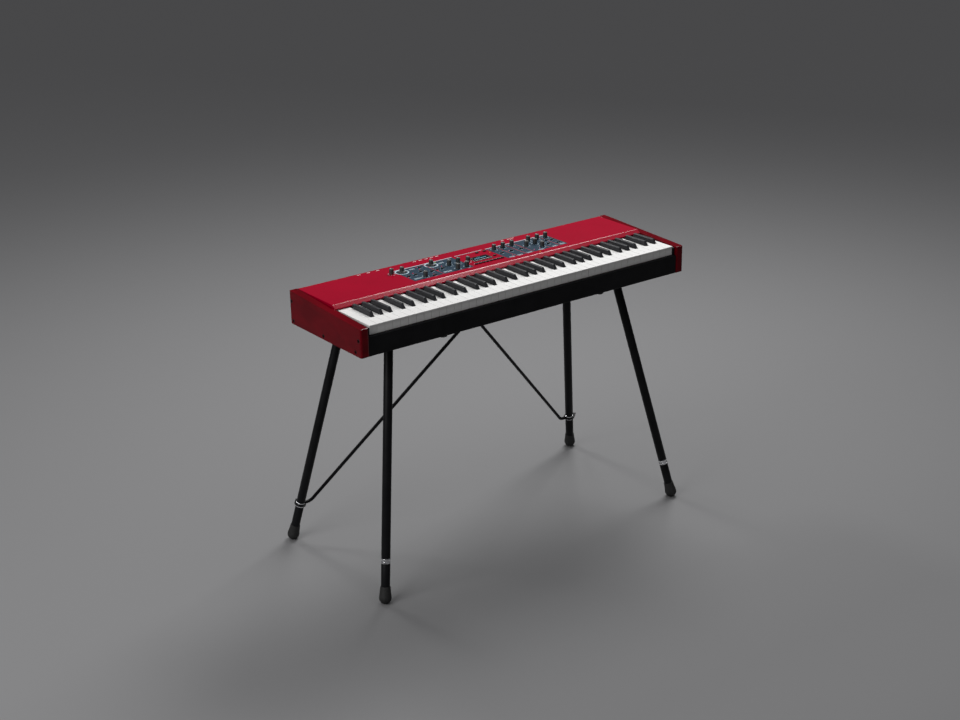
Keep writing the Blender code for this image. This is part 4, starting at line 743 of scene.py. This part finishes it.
bar = block((-0.0005, -0.0004, 0), (0.0005, 0.0004, MARK_THICKNESS))
edit_faces(bar, lambda centre, normal: normal.z > 0.9)
bpy.ops.mesh.inset(thickness=0.00004, depth=0.00001)
leave_edit()


def marks(name, finish, rows):
    """Prints rows of (x, y, length in mm, height in mm) as one layer of ink."""
    copies = []
    for x, y, length, height in rows:
        mark = copy_at(bar, on_panel(x, y, MARK_LIFT))
        mark.scale = (length, height / BAR_HEIGHT, 1)
        copies.append(mark)
    settle(joined(copies), name, finish, "case")
    print(name, len(rows))


def legend(x, y, *lengths, height, gap=0.0010):
    """A line of bars, centred on a place; lengths and height are in mm, the gap in m."""
    total = sum(lengths) / 1000 + gap * (len(lengths) - 1)
    rows, start = [], x - total / 2
    for length in lengths:
        rows.append((start + length / 2000, y, length, height))
        start += length / 1000 + gap
    return rows


# %% [markdown]
# A knob has its name in front of it, and a button has one in front and one behind, apart from the
# ones round the display. The fields also hold short lists of settings, in lines of three words.
# The lengths change a little from place to place, as words do. They could be drawn at random,
# but counting the places gives the same marks each time.

# %% Legends
INSTRUMENT_BUTTONS = ((-0.235, 0.229), (-0.214, 0.229), (-0.187, 0.243), (-0.169, 0.273),
                      (-0.162, 0.226), (-0.142, 0.228), (-0.126, 0.228), (-0.176, 0.194))
EFFECT_BUTTONS = ((0.078, 0.233), (0.111, 0.233), (0.142, 0.230), (0.231, 0.219),
                  (0.260, 0.212), (0.226, 0.238), (0.246, 0.246), (0.263, 0.243))
BEFORE_KNOB = 0.0125
BEFORE_BUTTON, BEHIND_BUTTON = 0.0060, 0.0058
WIDE_LISTS = ((-0.224, 0.2035), (-0.130, 0.2015))
NARROW_LISTS = ((0.080, 0.1935), (0.107, 0.193), (0.141, 0.194), (0.183, 0.194), (0.231, 0.1945),
                (0.261, 0.198), (-0.194, 0.277), (-0.102, 0.272), (-0.087, 0.256))
LIST_WIDTHS = {0.030: WIDE_LISTS, 0.018: NARROW_LISTS}
LIST_PITCH = 0.0030
LIST_WORDS = ((0.26, 0.30, 0.24), (0.36, 0.20, 0.26), (0.22, 0.34, 0.20))   # shares of the width

print_pale = new_finish("print_pale", (0.42, 0.52, 0.57), 0.5)
vary_colour(print_pale, noise(print_pale, 900), (0.36, 0.46, 0.52), (0.46, 0.56, 0.61))
rows = []
for place, (x, y) in enumerate(KNOBS.values()):
    rows += legend(x, y - BEFORE_KNOB, 3.6 + place % 3, 3.0 + place % 2, height=1.3)
for place, (x, y) in enumerate(INSTRUMENT_BUTTONS + EFFECT_BUTTONS):
    rows += legend(x, y - BEFORE_BUTTON, 3.0 + place % 3, 2.6 + place % 2, height=1.2)
    rows += legend(x, y + BEHIND_BUTTON, 4.2 + place % 2, 2.4, height=1.2)
for width, places in LIST_WIDTHS.items():
    for x, y in places:
        for step, shares in enumerate(LIST_WORDS):
            lengths = [share * width * 1000 for share in shares]
            rows += legend(x, y - LIST_PITCH * step, *lengths, height=1.5)
marks("print_legends", print_pale, rows)

# %% [markdown]
# A pale border runs along the rear of each field, a row of pale bars above and below the display,
# and larger white marks over the sockets at the rear. Thin red rules part the groups of controls.
# All are the same bar again, so one helper prints them, and each colour is a layer of its own.

# %% Borders and rules
BORDER_Y = 0.2905
SOCKET_MARKS = (-0.330, -0.300, -0.270, -0.151, -0.132, -0.112, -0.095, -0.077, 0.149, 0.171, 0.184)
SOCKET_MARKS_Y = 0.3240
FULL_RULES = (0.096, 0.128, 0.155, 0.2475)
SHORT_RULE = (0.2125, FIELD_FRONT, 0.2035)
RULES = [(x, FIELD_FRONT, FIELD_REAR) for x in FULL_RULES]
RULES += [SHORT_RULE, (-0.1495, FIELD_FRONT, FIELD_REAR)]

print_red = new_finish("print_red", (0.60, 0.004, 0.010), 0.4)
vary_colour(print_red, noise(print_red, 900), (0.55, 0.003, 0.009), (0.65, 0.006, 0.012))
edge_rows = [((left + right) / 2, BORDER_Y, (right - left) * 1000, 3.0)
             for left, right in FIELDS.values()]
edge_rows += legend(0.0055, 0.2915, 9, 14, 7, 11, 8, 16, 9, 12, height=2.4)
edge_rows += legend(0.0085, 0.2050, *[9.0] * 8, height=1.8, gap=0.0034)
marks("print_border", print_pale, edge_rows)
marks("print_socket_marks", print_white,
      [row for x in SOCKET_MARKS for row in legend(x, SOCKET_MARKS_Y, 5.0, 4.0, height=2.4)])
marks("print_rules", print_red,
      [(x, (front + rear) / 2, 1.1, (rear - front) * 1000) for x, front, rear in RULES])

# %% [markdown]
# Round each knob stands a ring of ticks with a gap in front. Ticks could be small boxes set round
# a circle. It is quicker to turn a flat ring and to delete the faces between the ticks. The two
# selectors have a full pale ring instead.

# %% Rings round the knobs
RING_FACES = 96
FACE_TURN = 360 / RING_FACES
TICK_PITCH = 8                  # faces from one tick to the next
TICK_FACES = 3                  # faces of the tick itself
SCALE_REACH = 40                # faces to each side of the rear


def is_blank(centre, normal):
    """Picks the faces between two ticks, and those of the gap in front."""
    step = (math.degrees(math.atan2(centre.x, centre.y)) + 180) / FACE_TURN
    return abs(step - RING_FACES / 2) > SCALE_REACH or int(step) % TICK_PITCH >= TICK_FACES


def flat_ring(inner, outer):
    """A flat printed ring between two radii."""
    return turned([(inner, 0), (outer, 0), (outer, MARK_THICKNESS), (inner, MARK_THICKNESS)],
                  sides=RING_FACES, closed=True)


ticks = flat_ring(0.0076, 0.0102)
edit_faces(ticks, is_blank)
bpy.ops.mesh.delete(type="FACE")
leave_edit()
band = flat_ring(0.0158, 0.0194)
for name, pattern, sites in (("print_ticks", ticks, KNOBS), ("print_bands", band, SELECTORS)):
    rings = [copy_at(pattern, on_panel(x, y, MARK_LIFT)) for x, y in sites.values()]
    settle(joined(rings), name, print_pale, "case")
    print(name, len(sites), "rings of", len(pattern.data.polygons), "faces")
discard(ticks, band)

# %% [markdown]
# The small lamps are domes on a short rim. Clear plastic would show what is inside, but at this
# size only a tinted spot is seen, so they are solid. Each colour is a finish of its own, with a
# weak glow, because some of them are lit in the photograph.

# %% Small lamps
LAMPS = {
    "red": ((0.62, 0.005, 0.06),
            ((-0.218, 0.269), (-0.176, 0.280), (-0.179, 0.260), (-0.212, 0.244), (-0.240, 0.222),
             (-0.174, 0.202), (-0.118, 0.244), (-0.146, 0.221), (0.069, 0.281), (0.105, 0.239),
             (0.088, 0.199))),
    "rose": ((0.70, 0.10, 0.30), ((0.166, 0.201), (0.186, 0.201))),
    "green": ((0.22, 0.42, 0.01), ((-0.113, 0.281),)),
    "amber": ((0.55, 0.36, 0.0), ((0.0565, 0.260), (0.168, 0.178))),
}

dome = turned([(0.0017, 0), (0.0017, 0.00025), (0.0013, 0.00030), (0.00125, 0.0007),
               (0.0009, 0.0011), (0.0004, 0.0013)], sides=20)
for colour, (tint, sites) in LAMPS.items():
    glow = new_finish("lamp_" + colour, tint, 0.25, Emission_Strength=0.25)
    vary_gloss(glow, noise(glow, 800), 0.2, 0.3)
    shader_of(glow).inputs["Emission Color"].default_value = (*tint, 1)
    lamps = [copy_at(dome, on_panel(x, y, INK)) for x, y in sites]
    settle(joined(lamps), "lamps_" + colour, glow, "case")
    print("lamps", colour, len(sites))
discard(dome)

# %% [markdown]
# The display shows rows of blue cells. On the real one they lie behind the glass. Here the glass
# is a dark solid, so they are laid on its face, as thin as print. They are the same bars as the
# printed marks, in a finish that shines by itself, with lengths that read as no word.

# %% Display cells
GLASS_TOP = 0.7765              # the glass's face, in the world
DISPLAY_MIDDLE = 0.0035
CELL_ROWS = ((0.2430, 1.2, (3, 5, 2)), (0.2340, 3.4, (4, 3, 2, 5, 3, 4, 2, 3, 5)))  # y, height, lengths

display_blue = new_finish("display_blue", (0.04, 0.14, 0.20), 0.4, Emission_Strength=0.9)
shader_of(display_blue).inputs["Emission Color"].default_value = (0.10, 0.32, 0.42, 1)
vary_gloss(display_blue, noise(display_blue, 500), 0.3, 0.5)
cells = []
for line_y, tall, lengths in CELL_ROWS:
    for x, y, length, height in legend(DISPLAY_MIDDLE, line_y, *lengths, height=tall):
        cell = copy_at(bar, Vector((x, y + CASE_FRONT, GLASS_TOP + FILM_GAP)))
        cell.scale = (length, height / BAR_HEIGHT, 1)
        cells.append(cell)
print("display cells", len(cells))
settle(joined(cells), "display_cells", display_blue, "case")
discard(bar)

# %% [markdown]
# Five black screws hold each wooden cheek. Their heads sit in counterbores, so only a dark round
# with a glint in its recess is seen. The recess could be cut with a boolean, but insetting the
# head's own face and pushing it in gives a cleaner edge.

# %% Cheek screws
CASE_UP = 0.684                 # the case's underside, in the world
CHEEK_FACE = 0.537
HOLES = ((0.327, 0.063), (0.322, 0.010), (0.176, 0.010), (0.012, 0.044), (0.027, 0.011))
RECESS_RIM = 0.0016
RECESS_DEPTH = 0.0018

screw_black = new_finish("screw_black", (0.012, 0.013, 0.013), 0.3, Metallic=0.6)
vary_gloss(screw_black, noise(screw_black, 900), 0.24, 0.4)
head = turned([(0.0042, -0.0042), (0.0042, -0.0016), (0.0037, -0.0011)], sides=36)
edit_faces(head, lambda centre, normal: normal.z > 0.9)
bpy.ops.mesh.inset(thickness=RECESS_RIM, depth=0)
bpy.ops.mesh.inset(thickness=0.0001, depth=-RECESS_DEPTH)
leave_edit()
eyelet = turned([(0.0044, -0.0040), (0.0049, -0.0040), (0.0049, 0.0), (0.0054, 0.0),
                 (0.0053, 0.00015), (0.0044, 0.00015)], sides=36, closed=True)
for end, side in (("left", -1), ("right", 1)):
    outwards = Matrix.Rotation(math.radians(90 * side), 4, "Y")
    for name, pattern in (("cheek_screws_", head), ("cheek_eyelets_", eyelet)):
        copies = []
        for y, z in HOLES:
            copy = copy_at(pattern)
            place = Matrix.Translation((side * CHEEK_FACE, y + CASE_FRONT, z + CASE_UP))
            copy.matrix_world = place @ outwards
            copies.append(copy)
        settle(joined(copies), name + end, screw_black, "case")
discard(head, eyelet)
print("cheek screws", 2 * len(HOLES))

# %% [markdown]
# The case stands on four rubber feet when it is off its stand. A plain cylinder would do for so
# small a piece, but the real foot's taper and rounded rim catch the light from low down, so it is
# turned, ring by ring.

# %% Case feet
FOOT_ACROSS = 0.264
FOOT_LINES = (0.040, 0.262)     # from the front of the cheeks

foot = turned([(0.0122, 0.0), (0.0124, -0.0010), (0.0116, -0.0140), (0.0104, -0.0151),
               (0.0045, -0.0151), (0.0040, -0.0146)])
round_edges(foot, 0.0005)
feet = [copy_at(foot, (side * FOOT_ACROSS, y + CASE_FRONT, CASE_UP))
        for side in (-1, 1) for y in FOOT_LINES]
print("case feet", len(feet))
settle(joined(feet), "case_feet", rubber, "case")
discard(foot)

# %% [markdown]
# The sockets at the rear are held by hexagonal nuts on thin washers. A nut could be cut from a
# round, as in a workshop. Here it is a ring of six sides, with its outer corners turned down.

# %% Rear sockets
REAR_FACE = 0.33525             # from the front of the cheeks
SOCKET_UP = 0.056
SOCKET_LINES = (-0.330, -0.300, -0.270, -0.150, -0.120, -0.090)
NUT_BORE = 0.0035

nut = turned([(NUT_BORE, 0.0005), (0.0074, 0.0005), (0.0078, 0.0008), (0.0078, 0.0029),
              (0.0072, 0.0034), (NUT_BORE, 0.0034)], sides=6, closed=True)
washer = turned([(NUT_BORE, 0.0), (0.0090, 0.0), (0.0090, 0.0005), (NUT_BORE, 0.0005)],
                sides=40, closed=True)
rearwards = Matrix.Rotation(math.radians(-90), 4, "X")
for name, pattern in (("socket_nuts", nut), ("socket_washers", washer)):
    copies = []
    for x in SOCKET_LINES:
        copy = copy_at(pattern)
        place = Matrix.Translation((x, REAR_FACE + CASE_FRONT, SOCKET_UP + CASE_UP))
        copy.matrix_world = place @ rearwards
        copies.append(copy)
    settle(joined(copies), name, chrome, "case")
    print(name, len(SOCKET_LINES))
discard(nut, washer)

# %% [markdown]
# The floor is a plain grey sheet, as in a studio, so wide that its edge is out of sight. It is not
# a part of the instrument.

# %% Floor
FLOOR_GREY = (0.216, 0.216, 0.219)
FLOOR_WIDTH = 60                # m

bpy.ops.object.select_all(action="DESELECT")
bpy.ops.mesh.primitive_grid_add(x_subdivisions=8, y_subdivisions=8, size=FLOOR_WIDTH)
floor = bpy.context.object
floor.name = "studio_floor"
floor_finish = new_finish("floor_finish", FLOOR_GREY, 0.8, Specular_IOR_Level=0.2)
floor.data.materials.append(floor_finish)
print("floor", FLOOR_WIDTH, "m wide")

# %% [markdown]
# A point of light would cast hard shadows and leave dots in the chrome, so the lamps are square and
# soft. A large one hangs over the treble side and gives the panel's rounded lip its long highlight,
# another lights the bass side, and a smaller one hangs behind.

# %% Studio lamps
def soft_lamp(name, place, aim, size, power):
    """Hangs a square area lamp that looks at a point."""
    data = bpy.data.lights.new(name, "AREA")
    data.size = size
    data.energy = power
    lamp = bpy.data.objects.new(name, data)
    bpy.context.collection.objects.link(lamp)
    lamp.location = place
    lamp.rotation_euler = (Vector(aim) - Vector(place)).to_track_quat("-Z", "Y").to_euler()
    print(name, power, "W")


soft_lamp("overhead", (1.6, 1.0, 3.0), (0, 0, 0.75), size=1.35, power=78)
soft_lamp("bass_side", (-3.0, -0.4, 2.0), (-0.5, 0, 0.7), size=2.0, power=46)
soft_lamp("edge", (-0.15, 2.3, 2.75), (-0.4, 0, 0.75), size=0.5, power=18)

# %% [markdown]
# The world fills the rest. One even grey would do, but a studio is dark near the floor and bright
# overhead, so the world is too: the height of a direction picks the strength of its light. The
# Standard view shows colours about as they are written.

# %% Studio around the object
HORIZON_LIGHT = (0.05, 0.05, 0.052)
ZENITH_LIGHT = (0.55, 0.55, 0.56)
DARK_BELOW = 0.45               # height of a direction, where the light starts to grow

world = bpy.data.worlds.new("studio")
bpy.context.scene.world = world
world.use_nodes = True
tree = world.node_tree
sky = tree.nodes["Background"]
sky.inputs["Strength"].default_value = 1.0
direction = tree.nodes.new("ShaderNodeTexCoord")
heights = tree.nodes.new("ShaderNodeSeparateXYZ")
fade = tree.nodes.new("ShaderNodeValToRGB")
fade.color_ramp.elements[0].color = (*HORIZON_LIGHT, 1)
fade.color_ramp.elements[0].position = DARK_BELOW
fade.color_ramp.elements[1].color = (*ZENITH_LIGHT, 1)
tree.links.new(direction.outputs["Generated"], heights.inputs["Vector"])
tree.links.new(heights.outputs["Z"], fade.inputs["Fac"])
tree.links.new(fade.outputs["Color"], sky.inputs["Color"])
bpy.context.scene.view_settings.view_transform = "Standard"
print("world", sky.name, "from", HORIZON_LIGHT[0], "to", ZENITH_LIGHT[0])
